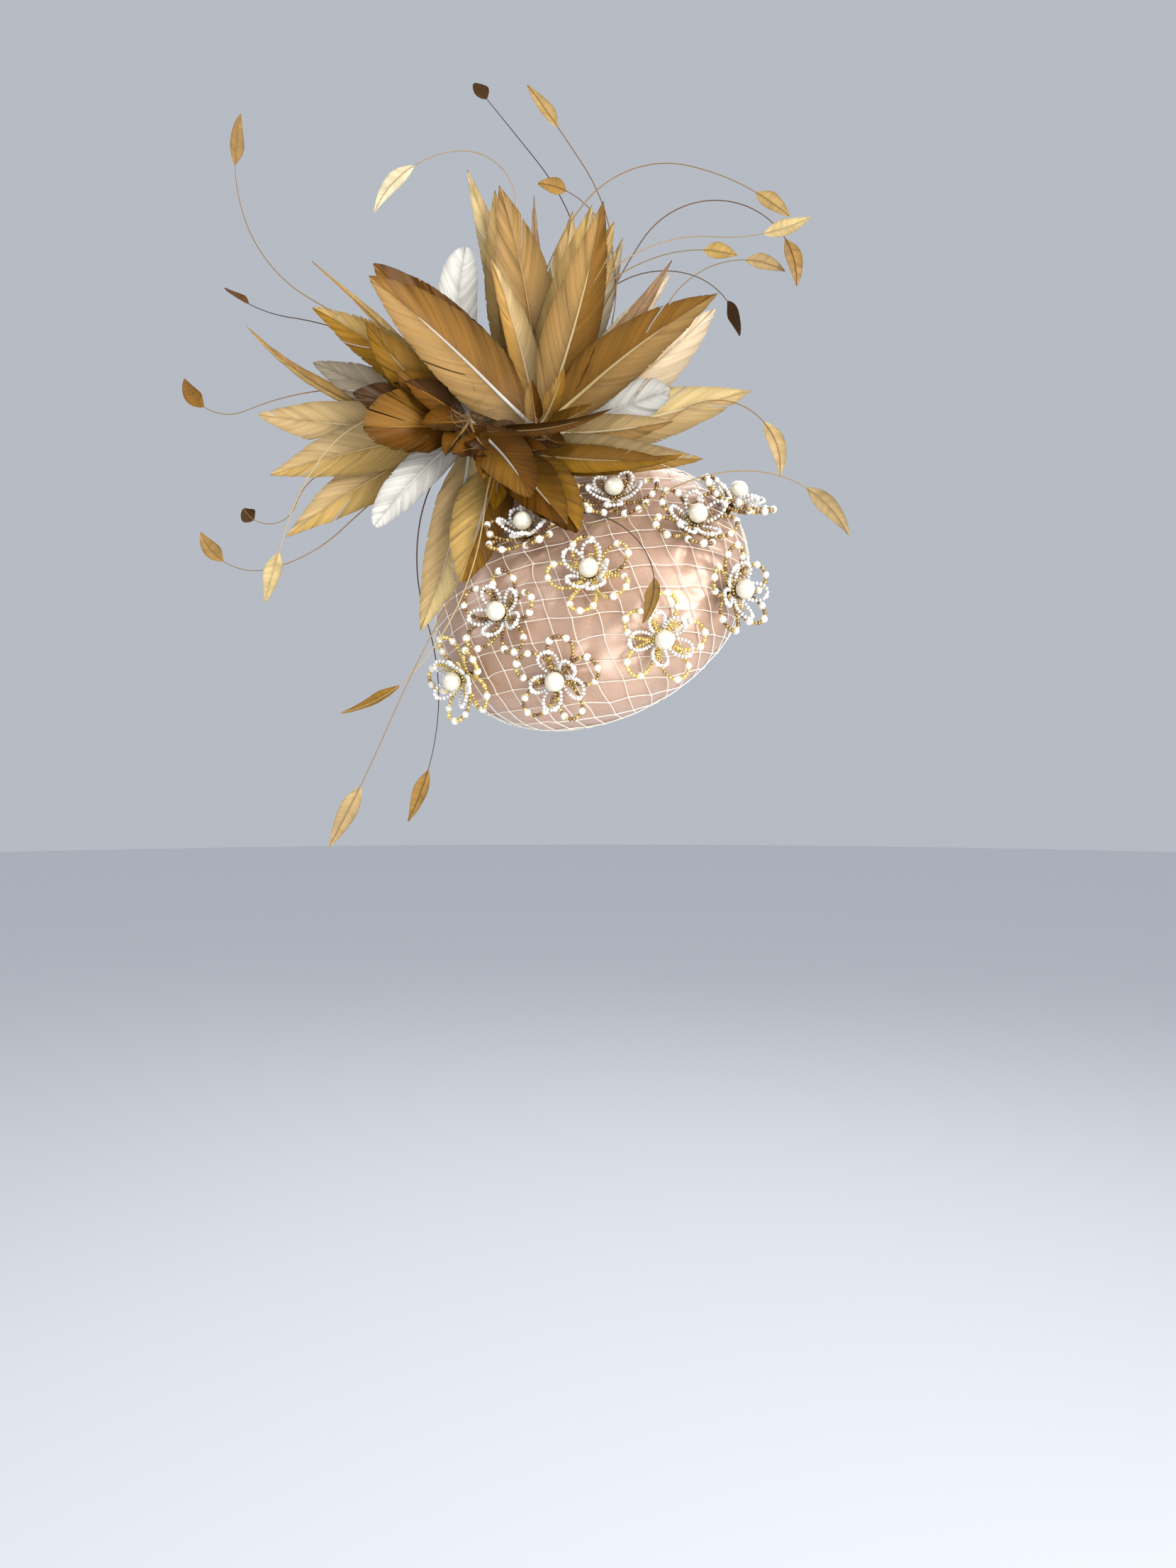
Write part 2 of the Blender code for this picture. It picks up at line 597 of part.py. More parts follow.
def petal_outline(number, sides, length, width, cup):
    """The outer and inner edges of one looped petal: pairs of matching points as (out, across, up)."""
    base = HUB_RADIUS * PETAL_BASE
    spread = math.pi / PETALS
    notch = (base * math.cos(spread), base * math.sin(spread), 0.0)
    outer = [(notch[0], -notch[1], 0.0)]
    heel = length * PETAL_HEEL
    inner = [(base + heel, -STRING * HEEL_HALF_WIDTH, heel * math.sin(cup))]
    for along, across in sides:
        far = length * along
        near = far - STRING if along > PETAL_CROWN else far
        half = width * across
        held = half - math.copysign(STRING, half)
        outer.append((base + far * math.cos(cup), half, far * math.sin(cup)))
        inner.append((base + near * math.cos(cup), held, near * math.sin(cup)))
    outer.append(notch)
    inner.append((inner[0][0], -inner[0][1], inner[0][2]))
    turn = Matrix.Rotation(math.tau * number / PETALS, 3, "Z")
    return [turn @ Vector(point) for point in outer], [turn @ Vector(point) for point in inner]


def looped_layer(bm, sides, length, width, cup, level, turn):
    """Five looped petals round an open middle. Gives the middle's corners below and above."""
    placed = Matrix.Translation((0, 0, level)) @ Matrix.Rotation(turn, 4, "Z")
    petals = [petal_outline(number, sides, length, width, cup) for number in range(PETALS)]
    middles = []
    loops = []
    for offset in (-STRING / 2, STRING / 2):
        lift = Vector((0, 0, offset))
        notches = add_ring(bm, [placed @ (outer[0] + lift) for outer, _ in petals])
        layer = []
        for number, (outer, inner) in enumerate(petals):
            edge = [notches[number]] + add_ring(bm, [placed @ (point + lift) for point in outer[1:-1]])
            edge.append(notches[(number + 1) % PETALS])
            hole = add_ring(bm, [placed @ (point + lift) for point in inner])
            bridge(bm, edge, hole)
            layer.append((edge, hole))
        middles.append(notches)
        loops.append(layer)
    for (low_edge, low_hole), (high_edge, high_hole) in zip(*loops):
        bridge(bm, low_hole, high_hole)
        for index in range(len(low_edge) - 1):
            bm.faces.new((low_edge[index], low_edge[index + 1], high_edge[index + 1], high_edge[index]))
    return middles


def flower_body(material):
    """The flower in one piece: foot, hub, five outer petals and five inner ones between them."""
    bm = bmesh.new()
    low = FOOT_HEIGHT + STRING / 2
    high = FOOT_HEIGHT + HUB_HEIGHT - STRING
    between = math.pi / PETALS
    outer_size = (OUTER_PETAL_LENGTH, OUTER_PETAL_WIDTH, OUTER_PETAL_CUP)
    inner_size = (INNER_PETAL_LENGTH, INNER_PETAL_WIDTH, INNER_PETAL_CUP)
    outer = looped_layer(bm, OUTER_SIDES, *outer_size, low, 0)
    inner = looped_layer(bm, INNER_SIDES, *inner_size, high, between)
    foot_angles = [math.tau * number / PETALS - between for number in range(PETALS)]
    foot = [
        add_ring(bm, [(FOOT_RADIUS * math.cos(a), FOOT_RADIUS * math.sin(a), z) for a in foot_angles])
        for z in (FIT_GAP, FOOT_HEIGHT - STRING / 2)
    ]
    bm.faces.new(foot[0])
    bridge(bm, foot[0], foot[1])
    bridge(bm, foot[1], outer[0])
    for number in range(PETALS):
        after = (number + 1) % PETALS
        bm.faces.new((outer[1][number], outer[1][after], inner[0][number]))
        bm.faces.new((outer[1][after], inner[0][after], inner[0][number]))
    seat_radius = HUB_RADIUS * SEAT_SHARE
    seat_z = FOOT_HEIGHT + HUB_HEIGHT
    seat_angles = [angle + between for angle in foot_angles]
    seat = add_ring(bm, [(seat_radius * math.cos(a), seat_radius * math.sin(a), seat_z) for a in seat_angles])
    bridge(bm, inner[1], seat)
    bm.faces.new(seat)
    bmesh.ops.recalc_face_normals(bm, faces=bm.faces)
    mesh = bpy.data.meshes.new("flower")
    bm.to_mesh(mesh)
    bm.free()
    mesh.materials.append(material)
    return mesh


def flower_frame(row, crown):
    """The axes of a flower on the crown: its foot on the satin, its face outwards and tipped up."""
    azimuth = math.radians(row.azimuth)
    normal = crown_normal(azimuth, row.rise)
    above = crown_point(azimuth, row.rise) + normal * CROWN_WALL
    found, seat, _, _ = crown.ray_cast(above, -normal)
    if not found:
        seat = crown_point(azimuth, row.rise)
    up = hat_matrix().to_3x3().inverted() @ Vector((0, 0, 1))
    tip = math.radians(row.tip)
    tipped = Matrix.Rotation(tip, 3, normal.cross(up).normalized()) @ normal
    side = up.cross(tipped).normalized()
    axes = Matrix((side, tipped.cross(side), tipped)).transposed().to_4x4()
    seat = seat + normal * FOOT_RADIUS * math.sin(tip)
    return hat_matrix() @ Matrix.Translation(seat) @ axes @ Matrix.Rotation(math.radians(row.turn), 4, "Z")


def make_flowers(crown, gold, pearl_finish):
    """Ten beaded flowers on the crown, each with its own centre pearl."""
    body = flower_body(gold)
    bm = bmesh.new()
    bmesh.ops.create_uvsphere(bm, u_segments=PEARL_SIDES, v_segments=PEARL_RINGS, radius=PEARL_RADIUS)
    pearl_mesh = bpy.data.meshes.new("pearl")
    bm.to_mesh(pearl_mesh)
    bm.free()
    pearl_mesh.materials.append(pearl_finish)
    pearl_mesh.shade_smooth()
    flowers = []
    for number, row in enumerate(FLOWERS, start=1):
        frame = flower_frame(row, crown)
        flower = bpy.data.objects.new(f"flower_{number:02d}", body)
        flower.matrix_world = frame
        bpy.context.scene.collection.objects.link(flower)
        pearl = bpy.data.objects.new(f"pearl_{number:02d}", pearl_mesh)
        lift = FOOT_HEIGHT + HUB_HEIGHT + FIT_GAP + PEARL_RADIUS
        pearl.matrix_world = frame @ Matrix.Translation((0, 0, lift))
        bpy.context.scene.collection.objects.link(pearl)
        flowers.append(flower)
    return flowers


def open_veil(veil, flowers):
    """Part the net's strands round each flower's foot and round the foot of the feather mount."""
    combine(veil, as_cutter(foot_block("mount_clearance", 2 * FIT_GAP)), "DIFFERENCE")
    for flower in flowers:
        bm = bmesh.new()
        clear = FOOT_RADIUS + 2 * FIT_GAP
        size = {"radius1": clear, "radius2": clear, "depth": 4 * FOOT_HEIGHT}
        bmesh.ops.create_cone(bm, cap_ends=True, segments=CLEARANCE_SIDES, **size)
        cutter = as_cutter(object_from_bmesh(bm, "foot_clearance"))
        cutter.matrix_world = flower.matrix_world
        combine(veil, cutter, "DIFFERENCE")


def make_comb(crown, material):
    """A plain comb just inside the back edge of the rim, its teeth towards the middle."""

    def wall(x):
        found, place, _, _ = crown.ray_cast(Vector((x, 0, COMB_HEIGHT)), Vector((0, 1, 0)))
        return (place.y if found else CROWN_HALF_WIDTH - CROWN_WALL) - FIT_GAP

    pitch = COMB_LENGTH / COMB_TEETH
    edge = [-COMB_LENGTH / 2 + pitch * step for step in range(COMB_TEETH + 1)]
    outline = [(x, wall(x)) for x in edge]
    outline.append((edge[-1], wall(edge[-1]) - COMB_SPINE))
    for tooth in reversed(range(COMB_TEETH)):
        middle = (edge[tooth] + edge[tooth + 1]) / 2
        root = wall(middle) - COMB_SPINE
        right = middle + COMB_TOOTH_WIDTH / 2
        left = middle - COMB_TOOTH_WIDTH / 2
        point = root - COMB_TOOTH_LENGTH
        outline += [(right, root), (right, point), (left, point), (left, root)]
    outline.append((edge[0], wall(edge[0]) - COMB_SPINE))
    bm = bmesh.new()
    rings = [add_ring(bm, [(x, y, COMB_HEIGHT + z) for x, y in outline]) for z in (0, COMB_THICKNESS)]
    bridge(bm, rings[0], rings[1])
    bm.faces.new(rings[0])
    bm.faces.new(rings[1])
    comb = object_from_bmesh(bm, "comb", material)
    comb.matrix_world = hat_matrix()
    return comb


def main():
    remove_everything()
    satin = make_material("blush_satin", (0.72, 0.45, 0.36), 0.38)
    net = make_material("cream_net", (0.86, 0.78, 0.66), 0.7)
    felt = make_material("mount_felt", (0.05, 0.04, 0.03), 0.9)
    gold = make_material("gold_beads", (0.72, 0.55, 0.28), 0.3, 0.6)
    cream = make_material("cream_pearl", (0.92, 0.88, 0.78), 0.25)
    tones = [(0.68, 0.56, 0.36), (0.55, 0.40, 0.24), (0.40, 0.26, 0.10)]
    crown = make_crown(satin)
    veil = make_veil(net)
    make_comb(crown, make_material("comb_plastic", (0.30, 0.20, 0.10), 0.4))
    make_mount(felt)
    for number, layer in enumerate(LAYERS):
        make_plume(layer, number, make_material(layer.name + "_vane", tones[number], 0.6))
    flowers = make_flowers(crown, gold, cream)
    open_veil(veil, flowers)


main()
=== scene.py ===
"""The fascinator's looks: satin, net, beads, feathers and stripped quills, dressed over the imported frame."""
import math
from collections import namedtuple

import bpy
import numpy as np
from mathutils import Matrix, Vector, noise


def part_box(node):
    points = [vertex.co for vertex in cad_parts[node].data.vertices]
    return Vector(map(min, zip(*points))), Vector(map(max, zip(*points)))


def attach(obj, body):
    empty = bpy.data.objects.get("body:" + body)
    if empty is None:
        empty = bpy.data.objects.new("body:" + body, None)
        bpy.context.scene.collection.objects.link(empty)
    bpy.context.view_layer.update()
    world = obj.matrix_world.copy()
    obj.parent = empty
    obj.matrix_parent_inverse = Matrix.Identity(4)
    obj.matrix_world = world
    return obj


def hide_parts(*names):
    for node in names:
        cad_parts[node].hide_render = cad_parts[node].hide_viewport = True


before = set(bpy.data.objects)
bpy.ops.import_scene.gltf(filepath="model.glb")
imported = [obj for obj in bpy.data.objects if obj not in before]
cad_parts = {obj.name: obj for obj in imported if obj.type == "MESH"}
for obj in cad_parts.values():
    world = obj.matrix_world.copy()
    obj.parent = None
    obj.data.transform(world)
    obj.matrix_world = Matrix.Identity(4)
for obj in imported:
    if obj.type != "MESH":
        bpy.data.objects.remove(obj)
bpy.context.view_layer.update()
chance = np.random.default_rng(29)

MM = 0.001
BODY = "root"

# The hat, as the part's source has it
CROWN_HALF_LENGTH = 92 * MM
CROWN_HALF_WIDTH = 80 * MM
CROWN_HEIGHT = 58 * MM
CROWN_WALL = 3 * MM
CROWN_SQUARENESS = 2.5
RIM_TUCK = 5 * MM
RIM_TUCK_HEIGHT = 24 * MM
HAT_LEAN = math.radians(59)
HAT_ROLL = math.radians(28.5)
NORMAL_STEP = math.radians(0.11)

MOUNT_X = -50 * MM
MOUNT_Z = 96 * MM
PAD_HALF_LENGTH = 34 * MM
PAD_HALF_HEIGHT = 26 * MM
PAD_THICKNESS = 9 * MM
PAD_FRONT_Y = 3 * MM
FOOT_WIDTH = 34 * MM
HEAD_THICKNESS = 8 * MM
HEAD_HALF_LENGTH = 30 * MM
HEAD_HALF_HEIGHT = 17 * MM
FIT_GAP = 0.3 * MM
QUILL_STACK_BACK = 0.94
QUILL_STACK_FRONT = 0.30

PETALS = 5
PEARL_RADIUS = 5 * MM
HUB_RADIUS = 3.8 * MM
HUB_HEIGHT = 4.6 * MM
FOOT_RADIUS = 1.6 * MM
FOOT_HEIGHT = 4.2 * MM

# Camera: it stands level, in front of the hat and a little below it
CAMERA_PLACE = (-4.1 * MM, -664 * MM, -99.6 * MM)
CAMERA_LENS = 27.03

# Feathers
FEATHER_LENGTH = 100 * MM
FEATHER_WIDTH = 25 * MM
FEATHER_RAMP = 0.3
WISP_RAMP = 0.12
WISP_LENGTH = 200 * MM
WISP_LEAF_LENGTH = 25 * MM
WISP_LEAF_WIDTH = 9.5 * MM
WISP_LEAF_TIP = 1.6
WISP_LEAF_BARBS = 34
WISP_QUILL = 0.95 * MM
PATH_STEPS = 96
SPLIT_OPENING = 0.8 * MM
BARB_SLANT = 1.75
RIPPLED_WIDTH = 12 * MM
VANE_WIDEST = 0.38
QUILL_THICKNESS = 0.75 * MM
# Shares of the source's bare quills and bound heads, whose other parts the feathers cover
BARE_SHOWN = 0.22
HEAD_SHOWN = 0.3

# Material slots: of a feather piece, whose core is a bound head's felt or loose down, of a flower and the pad
VANE, QUILL, CORE = range(3)
GOLD, CLEAR, PEARL, WIRE = range(4)
FELT, STITCH = range(2)

# Colours of dyed goose feather, and below them those of satin, lining, net, beads and pearls, as 0 to 255
PALETTE = {
    "white": (190, 187, 178),
    "cream": (214, 198, 160),
    "straw": (192, 168, 116),
    "beige": (204, 182, 150),
    "sand": (178, 150, 102),
    "fawn": (168, 138, 84),
    "tan": (152, 117, 64),
    "rose_tan": (138, 108, 76),
    "caramel": (164, 124, 60),
    "gold": (174, 142, 80),
    "honey": (154, 110, 34),
    "mustard": (150, 106, 18),
    "bronze": (126, 86, 24),
    "brown": (98, 60, 6),
    "umber": (68, 41, 6),
    "grey_tan": (150, 137, 114),
    "satin": (190, 153, 128),
    "lining": (150, 112, 92),
    "net": (240, 230, 214),
    "bronze_bead": (132, 96, 58),
    "gold_bead": (242, 214, 128),
    "clear_bead": (246, 243, 236),
    "small_pearl": (232, 226, 212),
    "tip_pearl": (236, 232, 224),
    "centre_pearl": (226, 218, 196),
}

# Clock angles run anticlockwise from the viewer's right and leans tip the feather towards the viewer, in
# degrees. Lengths and widths are shares of FEATHER_LENGTH and FEATHER_WIDTH, and bare is the share of the
# quill without vane. The first colour is the vane to the left of the quill as it grows, the second the one
# to its right, the third the quill. Fray shortens barbs, cup curls the edges towards the viewer, twist turns
# the vane about its quill, in degrees, and splits are the places where the vane has parted.
Feather = namedtuple(
    "Feather",
    "name layer anchor clock bend lean length width bare tip left right quill fray cup twist splits",
)
FEATHERS = [
    Feather("pale_gold_top", "back", "upper", 105, 4, 4, 1.53, 0.8, 0.40, 1.8,
            "straw", "sand", "gold", 0.2, 0.2, 10, (0.7,)),
    Feather("tan_top_behind", "back", "upper", 100, -8, 7, 1.36, 0.96, 0.40, 2.0,
            "fawn", "tan", "honey", 0.6, 0.3, 0, (0.55, 0.8)),
    Feather("pale_brown_top", "back", "upper", 81, 0, 6, 1.25, 0.96, 0.35, 2.0,
            "fawn", "sand", "honey", 0.3, 0.2, 0, (0.6,)),
    Feather("brown_top_right", "back", "upper", 70, -4, 6, 1.25, 0.88, 0.35, 2.2,
            "tan", "fawn", "tan", 0.3, 0.3, 0, (0.75,)),
    Feather("grey_tan_top_right", "back", "upper", 67, 6, 3, 1.22, 0.72, 0.35, 2.0,
            "fawn", "grey_tan", "tan", 0.3, 0.2, 0, (0.5,)),
    Feather("pale_upper_right", "back", "upper", 50, 0, 7, 1.16, 0.72, 0.35, 2.0,
            "cream", "beige", "sand", 0.4, 0.2, 0, (0.8,)),
    Feather("beige_right", "back", "upper", 35, 10, 6, 1.22, 1.44, 0.30, 2.0,
            "beige", "beige", "tan", 0.3, 0.2, 0, (0.6, 0.85)),
    Feather("pale_gold_right", "back", "upper", 10, 4, 10, 1.21, 1.24, 0.25, 2.0,
            "straw", "sand", "cream", 0.3, 0.2, 0, (0.5, 0.75)),
    Feather("pinkish_top", "back", "upper", 91, 0, 4, 1.34, 0.36, 0.40, 2.0,
            "rose_tan", "rose_tan", "tan", 0.3, 0.5, 30, ()),
    Feather("twisted_left", "back", "side", 156, -24, 4, 1.42, 0.4, 0.45, 1.8,
            "fawn", "tan", "umber", 0.4, 0.6, 40, ()),
    Feather("edge_on_left", "back", "side", 134, 6, 3, 1.3, 0.28, 0.45, 2.0,
            "tan", "fawn", "umber", 0.3, 0.6, 50, ()),
    Feather("grey_left", "back", "side", 158, 0, 4, 0.96, 0.96, 0.30, 2.4,
            "grey_tan", "grey_tan", "tan", 0.3, 0.1, 0, (0.6,)),
    Feather("pale_left", "back", "side", 178, -4, 7, 1.18, 1.12, 0.25, 2.4,
            "sand", "sand", "straw", 0.5, 0.1, 0, (0.55, 0.9)),
    Feather("gold_lower_left", "back", "side", -164, 6, 11, 1.15, 1.24, 0.25, 2.0,
            "gold", "sand", "gold", 0.3, 0.2, 0, (0.7,)),
    Feather("long_lower_left", "back", "side", -148, 8, 7, 1.21, 1.16, 0.25, 1.9,
            "gold", "sand", "gold", 0.3, 0.2, 0, (0.6,)),
    Feather("tan_top", "middle", "upper", 99, 10, 16, 1.3, 1.4, 0.25, 2.0,
            "tan", "tan", "honey", 0.3, 0.3, 0, (0.45, 0.7)),
    Feather("caramel_top", "middle", "upper", 106, 8, 23, 0.94, 0.68, 0.25, 2.0,
            "caramel", "sand", "straw", 0.3, 0.7, 20, (0.6,)),
    Feather("gold_top_behind", "middle", "upper", 75, 0, 19, 1.21, 1.12, 0.25, 2.0,
            "gold", "sand", "straw", 0.3, 0.3, 0, (0.5, 0.8)),
    Feather("folded_upper_right", "middle", "upper", 50, 4, 14, 1.17, 0.52, 0.30, 1.8,
            "rose_tan", "rose_tan", "umber", 0.3, 0.8, 30, ()),
    Feather("white_right", "middle", "upper", 12, 0, 23, 0.78, 1.0, 0.15, 4.0,
            "white", "white", "white", 0.2, 0.4, 0, (0.7,)),
    Feather("white_top", "middle", "side", 90, -16, 19, 0.93, 0.92, 0.25, 4.0,
            "white", "white", "white", 0.1, 0.4, 0, ()),
    Feather("white_lower_left", "middle", "side", -127, 8, 25, 0.86, 0.84, 0.15, 3.4,
            "white", "white", "white", 0.2, 0.3, 0, (0.7,)),
    Feather("gold_left", "middle", "side", 146, 10, 16, 1.04, 1.0, 0.25, 2.2,
            "mustard", "gold", "bronze", 0.5, 0.2, 0, (0.6, 0.8)),
    Feather("long_down", "middle", "side", -101, -8, 20, 1.28, 1.08, 0.30, 2.2,
            "straw", "sand", "white", 0.2, 0.2, 0, (0.6,)),
    Feather("striped_down", "middle", "low", -101, 2, 35, 1.01, 1.24, 0.20, 2.4,
            "bronze", "gold", "white", 0.2, 0.2, 0, (0.4, 0.5, 0.6, 0.7)),
    Feather("mustard_down", "middle", "low", -93, 0, 35, 0.48, 0.56, 0.20, 2.4,
            "mustard", "mustard", "straw", 0.2, 0.2, 0, ()),
    Feather("light_gold_front", "front", "upper", 71, 6, 28, 1.21, 1.2, 0.20, 1.8,
            "tan", "bronze", "straw", 0.2, 0.5, 0, (0.45, 0.6)),
    Feather("brown_gold_right", "front", "upper", 29, -10, 32, 1.23, 1.2, 0.15, 2.0,
            "bronze", "tan", "straw", 0.2, 0.3, 0, (0.6,)),
    Feather("big_tan_left", "front", "upper", 144, 6, 35, 1.19, 1.48, 0.08, 2.2,
            "tan", "bronze", "white", 0.15, 0.2, 0, (0.35,)),
    Feather("brown_behind_tan", "front", "upper", 139, 4, 28, 1.2, 1.32, 0.10, 2.4,
            "bronze", "brown", "bronze", 0.2, 0.2, 0, ()),
    Feather("tan_right", "front", "upper", -4, 6, 30, 0.82, 0.72, 0.12, 2.0,
            "sand", "tan", "cream", 0.3, 0.4, 0, (0.6,)),
    Feather("mustard_left", "front", "side", 140, -14, 30, 0.76, 0.92, 0.12, 2.2,
            "mustard", "honey", "straw", 0.4, 0.4, 0, (0.5, 0.8)),
    Feather("dark_leaf", "front", "side", -165, 0, 38, 0.65, 1.48, 0.10, 3.4,
            "brown", "bronze", "honey", 0.9, 0.5, 0, (0.3, 0.5, 0.7)),
    Feather("dark_leaf_behind", "front", "side", 173, 0, 28, 0.66, 0.96, 0.15, 2.6,
            "umber", "umber", "brown", 0.4, 0.3, 0, ()),
    Feather("brown_upper_left", "front", "side", 155, 0, 40, 0.5, 0.88, 0.15, 2.2,
            "brown", "bronze", "straw", 0.2, 0.4, 0, (0.5,)),
    Feather("brown_leaf_front", "front", "side", -57, -10, 44, 0.85, 1.12, 0.12, 2.4,
            "brown", "bronze", "white", 0.15, 0.3, 0, (0.55,)),
    Feather("curled_dark", "front", "side", -5, 18, 36, 0.94, 0.28, 0.20, 2.0,
            "umber", "brown", "tan", 0.4, 0.8, 40, ()),
    Feather("brown_leaf_low", "front", "low", -57, 0, 46, 0.92, 1.12, 0.15, 2.0,
            "bronze", "brown", "cream", 0.15, 0.3, 0, ()),
    Feather("mustard_low", "front", "low", -55, -8, 43, 0.96, 1.24, 0.15, 2.4,
            "honey", "brown", "bronze", 0.2, 0.2, 0, (0.6,)),
    Feather("long_right", "front", "low", -15, 6, 41, 1.22, 0.96, 0.12, 2.0,
            "sand", "honey", "straw", 0.2, 0.4, 0, (0.7,)),
    Feather("split_right", "front", "low", -12, 4, 30, 1.22, 0.88, 0.20, 2.0,
            "sand", "caramel", "straw", 0.4, 0.3, 0, (0.5, 0.75, 0.9)),
    Feather("short_right", "front", "low", -18, 6, 43, 1.16, 0.64, 0.30, 2.2,
            "bronze", "mustard", "sand", 0.4, 0.3, 0, (0.7,)),
]

# Stripped quills that end in a small leaf. Clock angles are given at five even stations, lengths and leaves
# are shares of WISP_LENGTH and WISP_LEAF_LENGTH. Twist turns the leaf edge-on, in degrees.
Wisp = namedtuple("Wisp", "name layer anchor clocks leans length leaf colour quill twist")
WISPS = [
    Wisp("left_high", "back", "side", (127, 144, 151, 108, 74), (3, 3), 1.165, 1.16, "tan", "tan", 55),
    Wisp("left_dark", "back", "side", (124, 140, 157, 172, 139), (1, 1), 0.83, 0.68, "brown", "umber", 60),
    Wisp("left_middle", "back", "side", (147, 164, 187, 204, 100), (2, 2), 0.89, 0.8, "bronze", "tan", 10),
    Wisp("left_tiny", "back", "side", (-161, -158, -175, -106, -245), (4, 4), 0.745, 0.36, "umber", "tan", 0),
    Wisp("left_low", "back", "side", (-152, -140, -136, -166, -253), (3, 3), 0.935, 0.84, "tan", "tan", 20),
    Wisp("down_dark", "back", "side", (-141, -101, -72, -96, -117), (0, 2), 1.175, 1.28,
         "caramel", "brown", 20),
    Wisp("top_dark", "back", "upper", (51, 77, 104, 129, 130), (0, 2), 1.13, 0.48, "umber", "umber", 20),
    Wisp("top_gold", "back", "upper", (45, 66, 92, 123, 127), (1, 1), 1.12, 1.2, "fawn", "bronze", 25),
    Wisp("top_left_arch", "back", "upper", (97, 112, 67, 187, 249), (2, 2), 1.23, 1.44, "cream", "sand", 0),
    Wisp("top_small", "back", "upper", (39, 59, 83, 118, 178), (3, 3), 0.885, 0.68, "caramel", "bronze", 0),
    Wisp("right_pale", "back", "upper", (89, 66, 34, -8, 25), (7, 7), 1.08, 1.08, "straw", "sand", 0),
    Wisp("right_grey", "back", "upper", (59, 66, 56, -19, -97), (4, 4), 1.23, 1.16, "tan", "brown", 0),
    Wisp("right_short", "back", "upper", (41, 23, 79, 24, -34), (2, 6), 0.92, 0.96, "sand", "tan", 0),
    Wisp("right_dark", "back", "upper", (88, 67, 37, -17, -87), (1, 1), 0.965, 0.88, "umber", "brown", 60),
    Wisp("right_high_arch", "middle", "upper", (105, 79, 50, -18, -46), (10, 10), 1.275, 0.96,
         "fawn", "tan", 0),
    Wisp("right_yellow", "middle", "upper", (93, 67, 39, 12, -22), (14, 10), 0.83, 0.76, "gold", "tan", 0),
    Wisp("right_hook", "middle", "upper", (-37, 13, 36, -38, -101), (10, 6), 0.85, 1.36, "sand", "tan", 0),
    Wisp("left_front", "front", "side", (-204, -161, -122, -103, -100), (20, 12), 0.9, 1.16,
         "straw", "straw", 0),
    Wisp("down_near", "front", "low", (-106, -92, -107, -127, -169), (41, 1), 0.98, 1.36,
         "honey", "straw", 50),
    Wisp("down_long", "front", "low", (-96, -104, -114, -112, -119), (42, -2), 1.25, 1.36, "sand", "tan", 0),
    Wisp("right_long", "front", "low", (-58, -53, 36, -6, -63), (46, -8), 1.18, 1.32, "sand", "fawn", 30),
    Wisp("right_falling", "front", "low", (-75, -50, -12, -61, -124), (46, 12), 0.85, 1.04,
         "caramel", "umber", 40),
]

# Short feathers tucked in front of the bound heads, in the same columns
TUCKED = [
    Feather("tucked_01", "front", "side", 205, 8, 52, 0.36, 0.62, 0.1, 2.4,
            "umber", "brown", "bronze", 0.6, 0.6, 0, (0.5,)),
    Feather("tucked_04", "front", "side", -62, 12, 54, 0.42, 0.6, 0.1, 2.2,
            "brown", "umber", "tan", 0.5, 0.6, 0, (0.6,)),
    Feather("tucked_05", "front", "side", 160, 6, 46, 0.44, 0.66, 0.1, 2.4,
            "brown", "umber", "honey", 0.6, 0.5, 0, (0.5,)),
    Feather("tucked_06", "front", "side", -110, 6, 50, 0.4, 0.56, 0.1, 2.4,
            "umber", "brown", "tan", 0.5, 0.5, 0, ()),
    Feather("tucked_07", "front", "upper", 58, 8, 50, 0.4, 0.44, 0.1, 2.0,
            "caramel", "honey", "straw", 0.6, 0.6, 20, (0.6,)),
    Feather("tucked_08", "front", "upper", 96, -6, 54, 0.3, 0.4, 0.1, 2.2,
            "tan", "brown", "tan", 0.6, 0.7, 0, ()),
    Feather("tucked_09", "front", "upper", 8, 10, 52, 0.44, 0.46, 0.1, 2.0,
            "bronze", "tan", "straw", 0.6, 0.5, 0, (0.6,)),
    Feather("tucked_10", "front", "upper", -44, 10, 56, 0.36, 0.5, 0.1, 2.2,
            "brown", "umber", "tan", 0.6, 0.6, 0, ()),
    Feather("tucked_12", "front", "low", -104, 6, 54, 0.44, 0.64, 0.1, 2.2,
            "bronze", "brown", "straw", 0.5, 0.5, 0, (0.6,)),
    Feather("tucked_13", "front", "low", -26, 8, 54, 0.46, 0.56, 0.1, 2.2,
            "brown", "umber", "tan", 0.5, 0.5, 0, ()),
    Feather("tucked_14", "front", "low", -148, 8, 52, 0.4, 0.6, 0.1, 2.2,
            "umber", "brown", "tan", 0.5, 0.5, 0, ()),
]

ANCHORS = {"upper": (0.53, -0.04), "side": (-0.56, 0.15), "low": (-0.06, -0.31)}
LAYERS = {"back": (1.0, 1.0), "middle": (0.9, 0.82), "front": (0.83, 0.70)}

# Flowers: azimuth from the crown's right end, height as a share of the way to its top, the turn of the petals
# and the tip upwards in degrees, and how bright its gold beads are, from bronze, 0, to gold, 1
Flower = namedtuple("Flower", "azimuth rise turn tip bright")
FLOWERS = [
    Flower(207, 0.67, 10, 0, 0.2),
    Flower(270, 0.81, 40, 6, 0.9),
    Flower(241, 0.41, 10, 0, 0.2),
    Flower(281, 0.40, 10, 0, 1.0),
    Flower(314, 0.26, 30, 0, 0.3),
    Flower(335, 0.56, 50, 6, 0.2),
    Flower(352, 0.29, 10, 20, 0.2),
    Flower(12, 0.83, 20, 12, 0.2),
    Flower(141, 0.89, 20, 18, 0.2),
    Flower(200, 0.31, 30, 0, 0.9),
]


# Meshes

